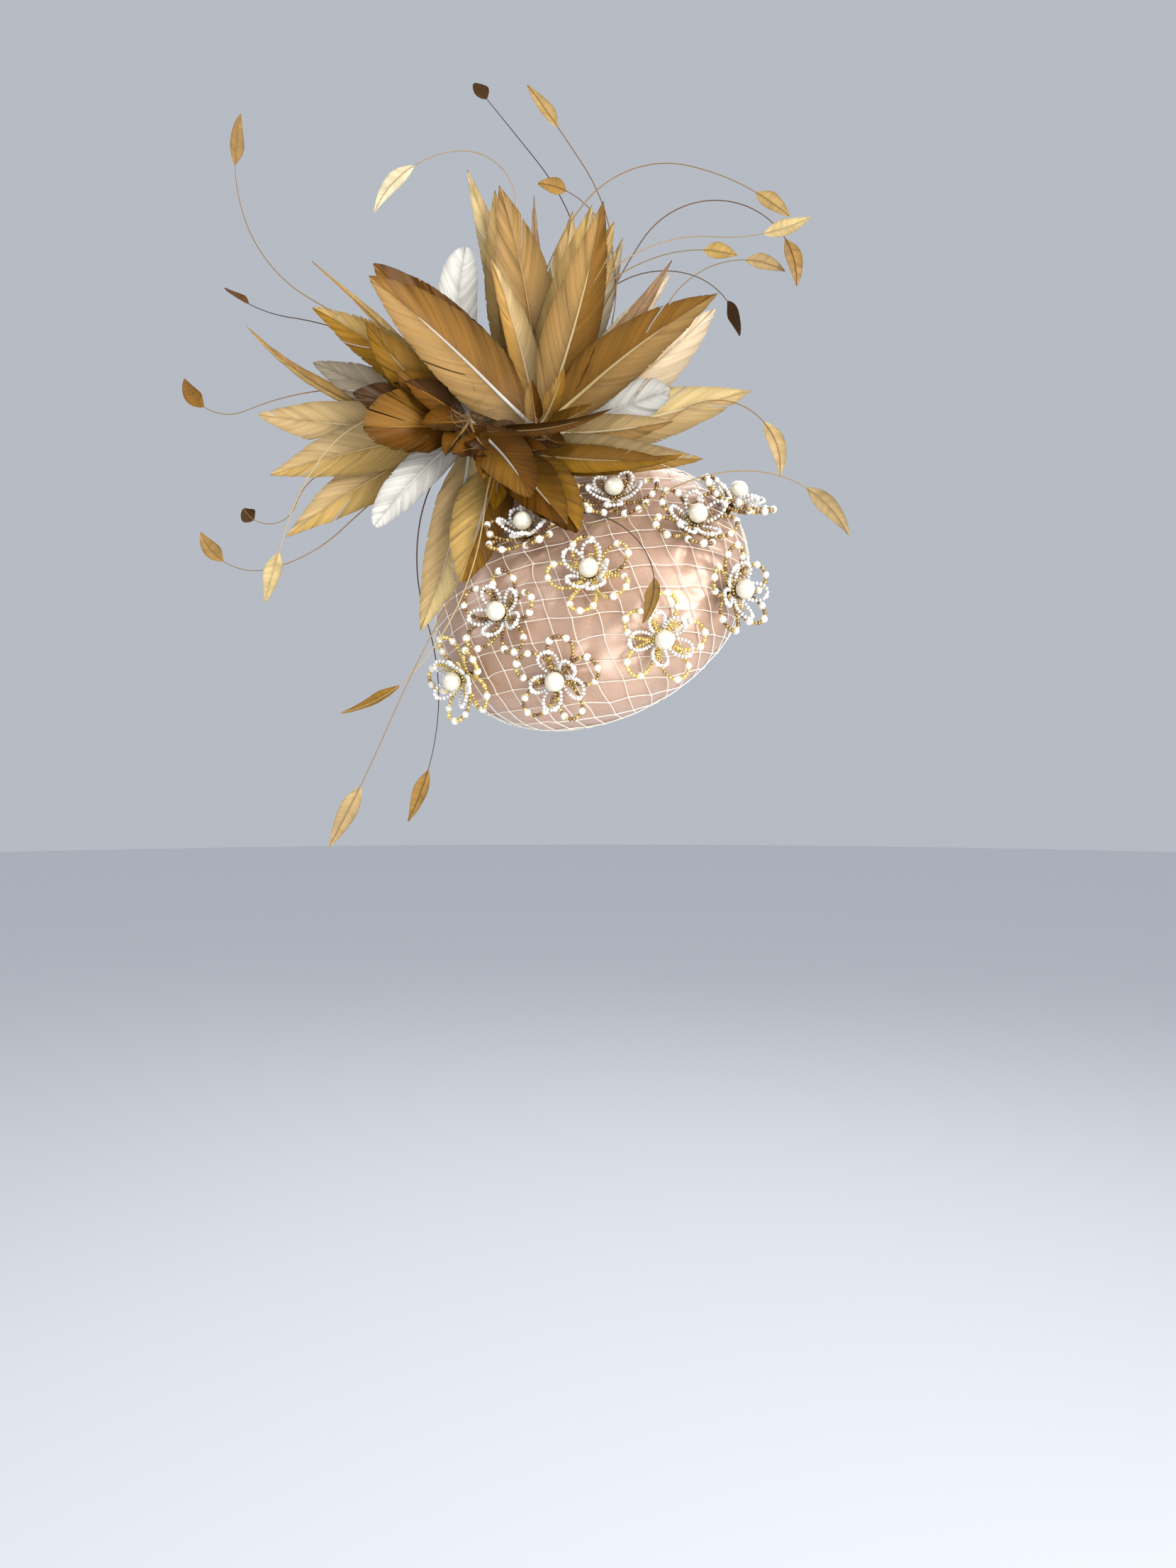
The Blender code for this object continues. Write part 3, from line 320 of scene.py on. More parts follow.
class Maker:
    """Collects the vertices, faces, colours and grain of one piece."""

    def __init__(self):
        self.points = []
        self.faces = []
        self.slots = []
        self.tones = []
        self.grains = []
        self.count = 0

    def add(self, points, faces, tone, slot=0, grain=None):
        """Add a shape: its points, its faces as rows of indices, its colour and its grain at each point."""
        points = np.asarray(points, dtype=float).reshape(-1, 3)
        tone = np.broadcast_to(np.asarray(tone, dtype=float), (len(points), 3))
        self.points.append(points)
        self.tones.append(tone)
        self.grains.append(points / MM if grain is None else grain.reshape(-1, 3))
        faces = np.asarray(faces) + self.count
        self.faces.append(faces)
        self.slots += [slot] * len(faces)
        self.count += len(points)

    def build(self, name, materials, replaced=(), smooth=True):
        """Make the object, and let it stand for the CAD nodes that it replaces."""
        mesh = bpy.data.meshes.new(name)
        # A repeated corner is dropped, which leaves triangles at a ball's poles.
        faces = [tuple(dict.fromkeys(face)) for block in self.faces for face in block.tolist()]
        mesh.from_pydata(np.vstack(self.points).tolist(), [], faces)
        tones = np.vstack(self.tones)
        colours = np.ones((len(tones), 4))
        colours[:, :3] = tones
        mesh.attributes.new("tone", "FLOAT_COLOR", "POINT").data.foreach_set("color", colours.ravel())
        grains = np.vstack(self.grains).ravel()
        mesh.attributes.new("grain", "FLOAT_VECTOR", "POINT").data.foreach_set("vector", grains)
        for material in materials:
            mesh.materials.append(material)
        mesh.polygons.foreach_set("material_index", self.slots)
        mesh.polygons.foreach_set("use_smooth", [smooth] * len(faces))
        mesh.update()
        piece = bpy.data.objects.new(name, mesh)
        bpy.context.scene.collection.objects.link(piece)
        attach(piece, BODY)
        if replaced:
            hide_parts(*replaced)
        return piece


def paint(name, light=1.0):
    """A colour of the palette as linear values, made lighter or darker by a factor."""
    srgb = np.asarray(PALETTE[name]) / 255
    linear = np.where(srgb <= 0.04045, srgb / 12.92, ((srgb + 0.055) / 1.055) ** 2.4)
    return np.clip(linear * light, 0, 1)


def grid_faces(rows, columns, closed=False):
    """Quads between rows of points, each row closed round on itself or open."""
    last = columns if closed else columns - 1
    faces = []
    for row in range(rows - 1):
        for column in range(last):
            after = (column + 1) % columns
            low = row * columns
            faces.append((low + column, low + after, low + columns + after, low + columns + column))
    return faces


def unit(vectors):
    """Vectors brought to a length of one."""
    return vectors / np.maximum(np.linalg.norm(vectors, axis=-1, keepdims=True), 1e-12)


def tube(maker, path, radii, tone, sides=6, slot=0, flat=1.0):
    """A round tube along a path, open at its ends, with one radius or a radius at each point."""
    path = np.asarray(path)
    count = len(path)
    radii = np.broadcast_to(np.asarray(radii, dtype=float), (count,))
    along = unit(np.gradient(path, axis=0))
    first = np.array([0.0, -1.0, 0.0]) - along * (along @ np.array([0.0, -1.0, 0.0]))[:, None]
    first = unit(first + 1e-6)
    second = np.cross(along, first)
    angles = math.tau * np.arange(sides) / sides
    ring = np.cos(angles)[None, :, None] * first[:, None, :] * flat
    ring = ring + np.sin(angles)[None, :, None] * second[:, None, :]
    points = path[:, None, :] + ring * radii[:, None, None]
    tone = np.asarray(tone, dtype=float)
    if tone.ndim == 2:
        tone = np.repeat(tone, sides, axis=0)
    maker.add(points, grid_faces(count, sides, closed=True), tone, slot)


def cap(maker, ring, top, tone):
    """Close a ring of points to one point above it."""
    sides = len(ring)
    fan = [(side, (side + 1) % sides, sides) for side in range(sides)]
    maker.add(np.vstack([ring, top]), fan, tone)


def round_shape(sides, rings):
    """A unit ball's points and faces, its poles along z. Faces at a pole name one corner twice."""
    points = [(0.0, 0.0, -1.0)]
    for ring in range(1, rings):
        lean = math.pi * ring / rings
        for side in range(sides):
            turn = math.tau * side / sides
            points.append((math.sin(lean) * math.cos(turn), math.sin(lean) * math.sin(turn), -math.cos(lean)))
    points.append((0.0, 0.0, 1.0))
    top = len(points) - 1
    faces = []
    for side in range(sides):
        after = (side + 1) % sides
        faces.append((0, 1 + after, 1 + side, 1 + side))
        for ring in range(rings - 2):
            low = 1 + ring * sides
            faces.append((low + side, low + after, low + sides + after, low + sides + side))
        low = 1 + (rings - 2) * sides
        faces.append((low + side, low + after, top, top))
    return np.array(points), np.array(faces)


# Shader groups and materials

def new_group(name, inputs, outputs):
    """A shader node group with named sockets. Gives the tree and its input and output nodes."""
    tree = bpy.data.node_groups.new(name, "ShaderNodeTree")
    for label, kind, value in inputs:
        socket = tree.interface.new_socket(name=label, in_out="INPUT", socket_type=kind)
        if value is not None:
            socket.default_value = value
    for label, kind in outputs:
        tree.interface.new_socket(name=label, in_out="OUTPUT", socket_type=kind)
    return tree, tree.nodes.new("NodeGroupInput"), tree.nodes.new("NodeGroupOutput")


def noise_node(tree, vector, scale, detail=3.0, roughness=0.5):
    """A noise texture over a vector. A scale that is a socket is linked."""
    node = tree.nodes.new("ShaderNodeTexNoise")
    node.inputs["Detail"].default_value = detail
    node.inputs["Roughness"].default_value = roughness
    tree.links.new(vector, node.inputs["Vector"])
    if isinstance(scale, (int, float)):
        node.inputs["Scale"].default_value = scale
    else:
        tree.links.new(scale, node.inputs["Scale"])
    return node.outputs["Fac"]


def math_node(tree, operation, first, second=0.5, third=0.5):
    """A Math node whose operands are sockets or numbers."""
    node = tree.nodes.new("ShaderNodeMath")
    node.operation = operation
    for index, value in enumerate((first, second, third)):
        if isinstance(value, (int, float)):
            node.inputs[index].default_value = value
        else:
            tree.links.new(value, node.inputs[index])
    return node.outputs[0]


def scaled_colour(tree, colour, factor):
    """A colour made lighter or darker by a factor."""
    node = tree.nodes.new("ShaderNodeVectorMath")
    node.operation = "SCALE"
    tree.links.new(colour, node.inputs[0])
    tree.links.new(factor, node.inputs["Scale"])
    return node.outputs[0]


def swing(tree, value, strength):
    """A noise value taken about zero and scaled."""
    return math_node(tree, "MULTIPLY", math_node(tree, "SUBTRACT", value, 0.5), strength)


def give_shade(tree, given, made, swings, height):
    """Put out the colour, lighter and darker by two swings, and the height for a bump."""
    factor = math_node(tree, "ADD", math_node(tree, "ADD", *swings), 1.0)
    tree.links.new(scaled_colour(tree, given.outputs["Colour"], factor), made.inputs["Colour"])
    tree.links.new(height, made.inputs["Height"])


def grain_group():
    """Cloudy shade and a fine grain over a colour: all but the vanes and the down use it."""
    tree, given, made = new_group(
        "cloud_and_grain",
        [("Colour", "NodeSocketColor", None), ("Vector", "NodeSocketVector", None),
         ("Cloud Scale", "NodeSocketFloat", 0.05), ("Cloud", "NodeSocketFloat", 0.1),
         ("Grain Scale", "NodeSocketFloat", 3.0), ("Grain", "NodeSocketFloat", 0.1)],
        [("Colour", "NodeSocketColor"), ("Height", "NodeSocketFloat")],
    )
    cloud = noise_node(tree, given.outputs["Vector"], given.outputs["Cloud Scale"])
    grain = noise_node(tree, given.outputs["Vector"], given.outputs["Grain Scale"], 2.0, 0.7)
    swings = (swing(tree, cloud, given.outputs["Cloud"]), swing(tree, grain, given.outputs["Grain"]))
    give_shade(tree, given, made, swings, grain)
    return tree


# Lines change quickly along the quill and slowly out along the barbs
BARB_LINE_SCALE = (1.3, 0.045, 1.0)


def barb_group():
    """Fine lines along the barbs, and mottling across them: vanes, leaves and down use it."""
    tree, given, made = new_group(
        "barb_lines",
        [("Colour", "NodeSocketColor", None), ("Grain", "NodeSocketVector", None),
         ("Lines", "NodeSocketFloat", 0.3), ("Mottle", "NodeSocketFloat", 0.3)],
        [("Colour", "NodeSocketColor"), ("Height", "NodeSocketFloat")],
    )
    stretch = tree.nodes.new("ShaderNodeMapping")
    stretch.inputs["Scale"].default_value = BARB_LINE_SCALE
    tree.links.new(given.outputs["Grain"], stretch.inputs["Vector"])
    lines = noise_node(tree, stretch.outputs[0], 1.0, 4.0, 0.7)
    cloud = noise_node(tree, given.outputs["Grain"], 0.09, 3.0, 0.6)
    swings = (swing(tree, lines, given.outputs["Lines"]), swing(tree, cloud, given.outputs["Mottle"]))
    give_shade(tree, given, made, swings, lines)
    return tree


GRAIN = grain_group()
BARBS = barb_group()


def finish_of(name, group, settings, bump, sockets, colour=None, vector=None):
    """A material: a group gives its colour and bump, and uniform numbers are set on the shader itself.

    Without a colour the piece's own tones are used, and without a vector its own place in millimetres.
    """
    material = bpy.data.materials.new(name)
    material.use_nodes = True
    tree = material.node_tree
    shader = tree.nodes["Principled BSDF"]
    for label, value in sockets.items():
        shader.inputs[label].default_value = value
    look = tree.nodes.new("ShaderNodeGroup")
    look.node_tree = group
    for label, value in settings.items():
        look.inputs[label].default_value = value
    if colour is None:
        tone = tree.nodes.new("ShaderNodeAttribute")
        tone.attribute_name = "tone"
        tree.links.new(tone.outputs["Color"], look.inputs["Colour"])
    else:
        look.inputs["Colour"].default_value = (*paint(colour), 1.0)
    place = tree.nodes.new("ShaderNodeAttribute")
    place.attribute_name = "grain"
    source = place.outputs["Vector"]
    if vector == "object":
        millimetres = tree.nodes.new("ShaderNodeVectorMath")
        millimetres.operation = "SCALE"
        millimetres.inputs["Scale"].default_value = 1 / MM
        where = tree.nodes.new("ShaderNodeTexCoord")
        tree.links.new(where.outputs["Object"], millimetres.inputs[0])
        source = millimetres.outputs[0]
        tree.nodes.remove(place)
    tree.links.new(source, look.inputs["Grain" if group == BARBS else "Vector"])
    tree.links.new(look.outputs["Colour"], shader.inputs["Base Color"])
    strength, distance = bump
    relief = tree.nodes.new("ShaderNodeBump")
    relief.inputs["Strength"].default_value = strength
    relief.inputs["Distance"].default_value = distance
    tree.links.new(look.outputs["Height"], relief.inputs["Height"])
    tree.links.new(relief.outputs["Normal"], shader.inputs["Normal"])
    return material


def make_finishes():
    """Every finish on the hat, by name."""
    return {
        "vane": finish_of("feather_vane", BARBS, {"Lines": 0.75, "Mottle": 0.55}, (0.35, 0.1 * MM),
                          {"Roughness": 0.5, "Specular IOR Level": 0.22}),
        "quill": finish_of("feather_quill", GRAIN, {"Cloud": 0.2, "Grain": 0.12}, (0.1, 0.05 * MM),
                           {"Roughness": 0.3, "Coat Weight": 0.3}),
        "down": finish_of("feather_down", BARBS, {"Lines": 0.3, "Mottle": 0.4}, (0.1, 0.05 * MM),
                          {"Roughness": 0.8, "Sheen Weight": 0.3}),
        "satin": finish_of("blush_satin", GRAIN,
                           {"Cloud Scale": 0.03, "Cloud": 0.18, "Grain Scale": 1.2, "Grain": 0.5},
                           (0.3, 0.04 * MM),
                           {"Roughness": 0.36, "Metallic": 0.25, "Sheen Weight": 0.15, "Sheen Roughness": 0.4,
                            "Coat Weight": 0.65, "Coat Roughness": 0.4, "Coat IOR": 1.9}),
        "lining": finish_of("lining_cloth", GRAIN, {"Cloud Scale": 0.04, "Cloud": 0.15, "Grain Scale": 2.2,
                                                    "Grain": 0.3}, (0.5, 0.2 * MM), {"Roughness": 0.8}),
        "net": finish_of("net_thread", GRAIN, {"Cloud Scale": 0.2, "Cloud": 0.12, "Grain Scale": 4.0,
                                               "Grain": 0.25}, (0.4, 0.1 * MM), {"Roughness": 0.65}),
        "felt": finish_of("mount_felt", GRAIN, {"Cloud Scale": 0.15, "Cloud": 0.3, "Grain Scale": 2.5,
                                                "Grain": 0.6}, (0.9, 0.4 * MM), {"Roughness": 0.95}),
        "gold_bead": finish_of("gold_bead", GRAIN, {"Cloud Scale": 0.6, "Cloud": 0.25, "Grain": 0.1},
                               (0.05, 0.02 * MM),
                               {"Roughness": 0.22, "Metallic": 0.6, "Coat Weight": 0.8,
                                "Coat Roughness": 0.05}),
        "clear_bead": finish_of("clear_bead", GRAIN, {"Cloud Scale": 0.6, "Cloud": 0.2, "Grain": 0.1},
                                (0.05, 0.02 * MM),
                                {"Roughness": 0.15, "Coat Weight": 1.0, "Coat Roughness": 0.04,
                                 "Coat IOR": 2.0}),
        "pearl": finish_of("pearl_lustre", GRAIN, {"Cloud Scale": 0.25, "Cloud": 0.08, "Grain": 0.03},
                           (0.03, 0.02 * MM),
                           {"Roughness": 0.3, "Coat Weight": 1.0, "Coat Roughness": 0.03,
                            "Coat IOR": 2.1}),
        "wire": finish_of("bronze_wire", GRAIN, {"Cloud": 0.2, "Grain": 0.1}, (0.05, 0.02 * MM),
                          {"Roughness": 0.3, "Metallic": 0.9}),
        "horn": finish_of("comb_horn", GRAIN, {"Cloud Scale": 0.12, "Cloud": 0.9, "Grain Scale": 1.0,
                                               "Grain": 0.1}, (0.05, 0.02 * MM),
                          {"Roughness": 0.25, "Coat Weight": 0.5}, colour="umber", vector="object"),
    }


# The hat's own shape

HAT = np.array(Matrix.Rotation(-HAT_ROLL, 3, "Y") @ Matrix.Rotation(HAT_LEAN, 3, "X"))


def crown_point(azimuth, rise, grow=0.0):
    """Points of the crown's smooth surface in the hat's axes: rise is 0 at the rim and 1 at the top."""
    azimuth, rise = np.broadcast_arrays(np.asarray(azimuth, float), np.asarray(rise, float))
    climb = rise * math.pi / 2
    reach = np.maximum(np.cos(climb), 0.0) ** (2 / CROWN_SQUARENESS)
    height = CROWN_HEIGHT * np.maximum(np.sin(climb), 0.0) ** (2 / CROWN_SQUARENESS)
    tuck = RIM_TUCK * np.maximum(0.0, 1 - height / RIM_TUCK_HEIGHT) ** 2
    x = ((CROWN_HALF_LENGTH + grow) * reach - tuck) * np.cos(azimuth)
    y = ((CROWN_HALF_WIDTH + grow) * reach - tuck) * np.sin(azimuth)
    return np.stack([x, y, height * (CROWN_HEIGHT + grow) / CROWN_HEIGHT], -1)


def crown_normal(azimuth, rise):
    """The outward direction of the crown's surface in the hat's axes."""
    level = np.clip(rise, 2 * NORMAL_STEP, 1 - 2 * NORMAL_STEP)
    along = crown_point(azimuth + NORMAL_STEP, level) - crown_point(azimuth - NORMAL_STEP, level)
    up = crown_point(azimuth, level + NORMAL_STEP) - crown_point(azimuth, level - NORMAL_STEP)
    return unit(np.cross(along, up))


def as_worn(points):
    """Points or directions from the hat's axes to the frame's."""
    return np.asarray(points) @ HAT.T


# Crown: satin drawn over the shell, its gathers at the right end

GATHER_FROM = math.radians(-62)
GATHER_TO = math.radians(34)
GATHER_PLEATS = 13
GATHER_RELIEF = 2.6 * MM
# The azimuth, the width, in radians, and the depth, in millimetres, of each slack fold
SLACK_FOLDS = ((3.0, 0.06, 1.3), (3.35, 0.08, 1.5), (3.9, 0.06, 1.1), (4.25, 0.05, 0.9), (4.6, 0.07, 1.0),
               (5.0, 0.05, 0.9), (2.2, 0.06, 1.0), (1.4, 0.05, 1.2))
PUCKER_DEPTH = 1.5 * MM
PUCKER_REACH = 7 * MM
CREASE_DEPTH = 1.1 * MM
PLEAT_REACH = 0.62
SLACK_REACH = 0.55
SLACK_WANDER = 0.25
BROAD_FOLD = 1.9 * MM
NARROW_FOLD = 1.0 * MM
SATIN_SIDES = 300
SATIN_RINGS = 84
TURNED_UNDER = 9 * MM
TURNED_WAVE = 0.25 * MM
UNDER_LIFT = 0.3 * MM
RIM_STEPS = 6
UNDER_STEPS = 5
RIPPLE_SIZE = 9 * MM
RIPPLE_DEPTH = 0.12 * MM
LINING_SIDES = 120
LINING_RINGS = 30


def satin_relief(azimuth, rise):
    """How far the satin stands off its smooth shape: pleats at the gathers and slack folds elsewhere."""
    turned = (azimuth + math.pi) % math.tau - math.pi
    share = (turned - GATHER_FROM) / (GATHER_TO - GATHER_FROM)
    within = np.clip(np.sin(np.clip(share, 0, 1) * math.pi), 0, 1) ** 0.6
    wander = 0.5 * np.sin(2.3 * rise * math.pi + 5 * share)
    pleat = np.abs(np.sin(math.pi * GATHER_PLEATS * share + wander))
    fade = np.clip(1 - rise / PLEAT_REACH, 0, 1) ** 1.1
    relief = -GATHER_RELIEF * within * fade * (1 - pleat) ** 1.6
    slack = np.zeros_like(azimuth)
    for number, (where, spread, depth) in enumerate(SLACK_FOLDS):
        line = where + SLACK_WANDER * np.sin(3 * rise + number)
        near = np.exp(-(((azimuth % math.tau) - line) / spread) ** 2)
        slack += depth * MM * near * np.exp(-(rise / SLACK_REACH) ** 2)
    broad = BROAD_FOLD * np.sin(3 * azimuth + 7 * rise) * np.sin(math.pi * rise) ** 0.5
    broad += NARROW_FOLD * np.sin(8 * azimuth - 9 * rise + 1) * np.sin(math.pi * rise) ** 0.5
    return relief - slack - 0.5 * np.abs(broad)


def flower_puckers(points):
    """How far the satin is drawn in and creased round the stitches of each flower."""
    relief = np.zeros(points.shape[:-1])
    for number, row in enumerate(FLOWERS):
        azimuth = math.radians(row.azimuth)
        middle = crown_point(azimuth, row.rise)
        normal = crown_normal(azimuth, row.rise)
        side = unit(np.cross((0.0, 0.0, 1.0), normal))
        away = points - middle
        distance = np.linalg.norm(away, axis=-1)
        angle = np.arctan2(away @ np.cross(normal, side), away @ side)
        relief += PUCKER_DEPTH * np.exp(-(distance / PUCKER_REACH) ** 2)
        creases = np.abs(np.sin(2.5 * angle + number)) + 0.5 * np.abs(np.sin(4 * angle + 2 * number))
        ring = np.exp(-((distance - 2 * PUCKER_REACH) / (1.3 * PUCKER_REACH)) ** 2)
        relief += CREASE_DEPTH * (1 - creases) * ring
    return relief


def make_satin(finish):
    """The satin cover in one sheet: over the crown, round the rim and turned under inside it."""
    azimuth = math.tau * np.arange(SATIN_SIDES) / SATIN_SIDES
    rows = []
    for step in range(SATIN_RINGS):
        rise = (step / SATIN_RINGS) ** 1.15
        around = np.full_like(azimuth, rise)
        smooth = crown_point(azimuth, around)
        depth = satin_relief(azimuth, around) - flower_puckers(smooth)
        rows.append(smooth + crown_normal(azimuth, around) * np.minimum(depth, 0)[:, None])
    outer_edge = crown_point(azimuth, 0.0)
    inner_edge = crown_point(azimuth, 0.0, -CROWN_WALL)
    turned = []
    for step in range(1, RIM_STEPS + 1):
        angle = math.pi * step / RIM_STEPS
        middle = (outer_edge + inner_edge) / 2
        half = (outer_edge - inner_edge) / 2
        rounded = middle + half * math.cos(angle)
        rounded[:, 2] -= CROWN_WALL * 0.5 * math.sin(angle)
        turned.append(rounded)
    for step in range(1, UNDER_STEPS + 1):
        up = TURNED_UNDER * step / UNDER_STEPS
        inside = crown_point(azimuth, 0.0, -CROWN_WALL - UNDER_LIFT)
        inside[:, 2] = up + TURNED_WAVE * np.sin(40 * azimuth)
        turned.append(inside)
    sheet = np.array(turned[::-1] + rows)
    over = sheet[len(turned):]
    ripple = np.array([[noise.noise(Vector(point) / RIPPLE_SIZE) for point in row] for row in over])
    over += over * (RIPPLE_DEPTH * ripple / CROWN_HEIGHT)[..., None]
    maker = Maker()
    maker.add(as_worn(sheet), grid_faces(len(sheet), SATIN_SIDES, closed=True), paint("satin"))
    cap(maker, as_worn(sheet[-1]), as_worn(crown_point(0.0, 1.0)), paint("satin"))
    return maker.build("satin_cover", [finish], ("crown",))


def make_lining(finish):
    """The stiff shell's plain inner face."""
    azimuth = math.tau * np.arange(LINING_SIDES) / LINING_SIDES
    rows = [crown_point(azimuth, rise, -CROWN_WALL) for rise in np.linspace(0.02, 0.985, LINING_RINGS)]
    maker = Maker()
    maker.add(as_worn(np.array(rows)), grid_faces(LINING_RINGS, LINING_SIDES, closed=True), paint("lining"))
    cap(maker, as_worn(rows[-1]), as_worn(crown_point(0.0, 1.0, -CROWN_WALL)), paint("lining"))
    return maker.build("crown_inside", [finish], ())


# Veil

NET_PITCH = 11.8 * MM
NET_TURN = math.radians(-25)
NET_SKEW = math.radians(18)
NET_STRAND = 0.25 * MM
NET_LIFT = 1.1 * MM
NET_KNOT = 0.6 * MM
NET_REACH = 130 * MM
NET_UNEVEN = 0.055
NET_END = 0.99
MERIDIAN_STEPS = 60
STRAND_PARTS = 4
STRAND_SLACK = 0.35 * MM
HEM_STEPS = 181


def meridian(azimuth):
    """Lengths from the crown's top down to the rim along an azimuth, with the rise at each."""
    rises = 1 - np.linspace(0, 1, MERIDIAN_STEPS)
    points = crown_point(np.full(MERIDIAN_STEPS, azimuth), rises)
    steps = np.linalg.norm(np.diff(points, axis=0), axis=1)
    return np.concatenate([[0], np.cumsum(steps)]), rises


def net_point(flat, lift):
    """Where a point of the flat net lies on the crown, and its share of the way to the rim."""
    azimuth = math.atan2(flat[1], flat[0])
    lengths, rises = meridian(azimuth)
    distance = math.hypot(flat[0], flat[1])
    rise = float(np.interp(min(distance, lengths[-1]), lengths, rises))
    return crown_point(azimuth, rise) + crown_normal(azimuth, rise) * lift, distance / lengths[-1]


def flat_knots():
    """The knots of the net before it is stretched, by column and row, each a little out of true."""
    reach = int(NET_REACH / NET_PITCH) + 2
    turn = np.array([[math.cos(NET_TURN), -math.sin(NET_TURN)], [math.sin(NET_TURN), math.cos(NET_TURN)]])
    knots = {}
    for column in range(-reach, reach + 1):
        for row in range(-reach, reach + 1):
            loose = chance.normal(0, NET_UNEVEN, 2)
            skew = np.array([column - math.sin(NET_SKEW) * row, math.cos(NET_SKEW) * row]) + loose
            knots[column, row] = turn @ (skew * NET_PITCH)
    return knots


def net_strand(maker, start, end, tone):
    """One strand between two knots, a little slack, and cut off where it passes the rim."""
    bow = chance.normal(0, STRAND_SLACK, 2)
    path = []
    for step in range(STRAND_PARTS + 1):
        share = step / STRAND_PARTS
        between = start * (1 - share) + end * share
        between = between + bow * math.sin(math.pi * share)
        place, far = net_point(between, NET_LIFT * (1 - 0.25 * math.sin(math.pi * share)))
        path.append(place)
        if far >= 1:
            break
    if len(path) > 1:
        tube(maker, as_worn(np.array(path)), NET_STRAND, tone, sides=5)


def net_hem(maker, tone):
    """The thread round the rim that the net is caught on."""
    hem = []
    for azimuth in np.linspace(0, math.tau, HEM_STEPS):
        wave = 0.012 + 0.008 * math.sin(23 * azimuth) * math.sin(7 * azimuth)
        hem.append(crown_point(azimuth, wave) + crown_normal(azimuth, wave) * NET_LIFT)
    tube(maker, as_worn(np.array(hem)), NET_STRAND * 1.1, tone, sides=5)


def make_veil(finish):
    """The net: strands between knots, stretched over the crown and caught at the rim."""
    maker = Maker()
    tone = paint("net")
    ball, ball_faces = round_shape(7, 5)
    knots = flat_knots()
    for (column, row), flat in knots.items():
        place, beyond = net_point(flat, NET_LIFT)
        if beyond > NET_END:
            continue
        size = NET_KNOT * chance.uniform(0.75, 1.2, 3) * (1.0, 1.0, 0.8)
        maker.add(as_worn(place) + (ball * size) @ HAT.T, ball_faces, tone)
        for after in ((column + 1, row), (column, row + 1), (column - 1, row), (column, row - 1)):
            if after not in knots:
                continue
            _, beyond_after = net_point(knots[after], NET_LIFT)
            forward = after[0] > column or after[1] > row
            if beyond_after > NET_END or forward:
                net_strand(maker, flat, knots[after], tone)
    net_hem(maker, tone)
    return maker.build("net_veil", [finish], ("veil",))


# Feathers

class Quill:
    """A quill's course: its places, directions and the sideways direction of its vane."""

    def __init__(self, start, clocks, leans, ramp, length, twist=0.0):
        share = (np.arange(PATH_STEPS) + 0.5) / PATH_STEPS
        stations = np.linspace(0, 1, len(clocks))
        clock = np.radians(np.interp(share, stations, clocks))
        lean = np.radians(leans[0] + (leans[1] - leans[0]) * share) * np.minimum(1, share / ramp)
        moves = np.stack([np.cos(clock) * np.cos(lean), -np.sin(lean), np.sin(clock) * np.cos(lean)], -1)
        self.length = length
        self.shares = np.linspace(0, 1, PATH_STEPS + 1)
        self.points = np.vstack([start, start + np.cumsum(moves * length / PATH_STEPS, axis=0)])
        self.along = unit(np.gradient(self.points, axis=0))
        across = np.stack([-np.sin(clock), np.zeros_like(clock), np.cos(clock)], -1)
        across = np.vstack([across, across[-1:]])
        facing = unit(np.cross(self.along, across))
        turn = np.radians(twist) * self.shares
        self.across = across * np.cos(turn)[:, None] + facing * np.sin(turn)[:, None]
        self.facing = unit(np.cross(self.along, self.across))

    def at(self, share):
        """Place, sideways direction and facing direction at shares of the length."""
        clipped = np.clip(share, 0, 1)
        found = []
        for rows in (self.points, self.across, self.facing):
            found.append(np.stack([np.interp(clipped, self.shares, rows[:, axis]) for axis in range(3)], -1))
        beyond = (np.asarray(share) - clipped)[..., None] * self.length * self.along[-1]
        found[0] = found[0] + beyond
        return found


def vane_share(place, tip):
    """The vane's width from its start, 0, to its tip, 1, as a share of its greatest width."""
    place = np.clip(place, 0, 1)
    early = 1 - (1 - place / VANE_WIDEST) ** 2
    late = 1 - (np.maximum(place - VANE_WIDEST, 0) / (1 - VANE_WIDEST)) ** tip
    late = late ** min(1.0, 2 / tip)
    return np.where(place < VANE_WIDEST, early, late)


# Where the points of a barb lie on its way out from the quill
BARB_STATIONS = np.array([0.0, 0.12, 0.3, 0.5, 0.7, 0.86, 0.95, 1.0])
FEATHER_BARBS = 50
BARBS_FOR_LENGTH = 70
VANE_END = 0.996
BARB_BEND = 1.3
BARB_SPREAD = 0.9
SPLIT_SPREAD = 0.05
LOOSE_SHARE = 0.16
# Painted shade on the vanes: darkening at the outer edge, beside the quill, at the root where the feathers
# crowd and in the splits; the tip is darker too
EDGE_SHADE = 0.34
QUILL_SHADE = 0.3
ROOT_LIGHT = 0.62
ROOT_RISE = 0.48
TIP_SHADE = 0.12
SPLIT_SHADE = 0.3
# How much streaks, clumps and waves lighten a barb, and how far they lift it, in millimetres
STREAK_LIGHT, CLUMP_LIGHT, WAVE_LIGHT = 0.07, 0.14, 0.10
STREAK_LIFT, CLUMP_LIFT, WAVE_LIFT = 0.05, 1.1, 2.2


def barb_noise(base, pace, across, seed):
    """Smooth noise along the quill, a value for each barb."""
    return np.array([noise.noise(Vector((where * pace, across, seed))) for where in base])


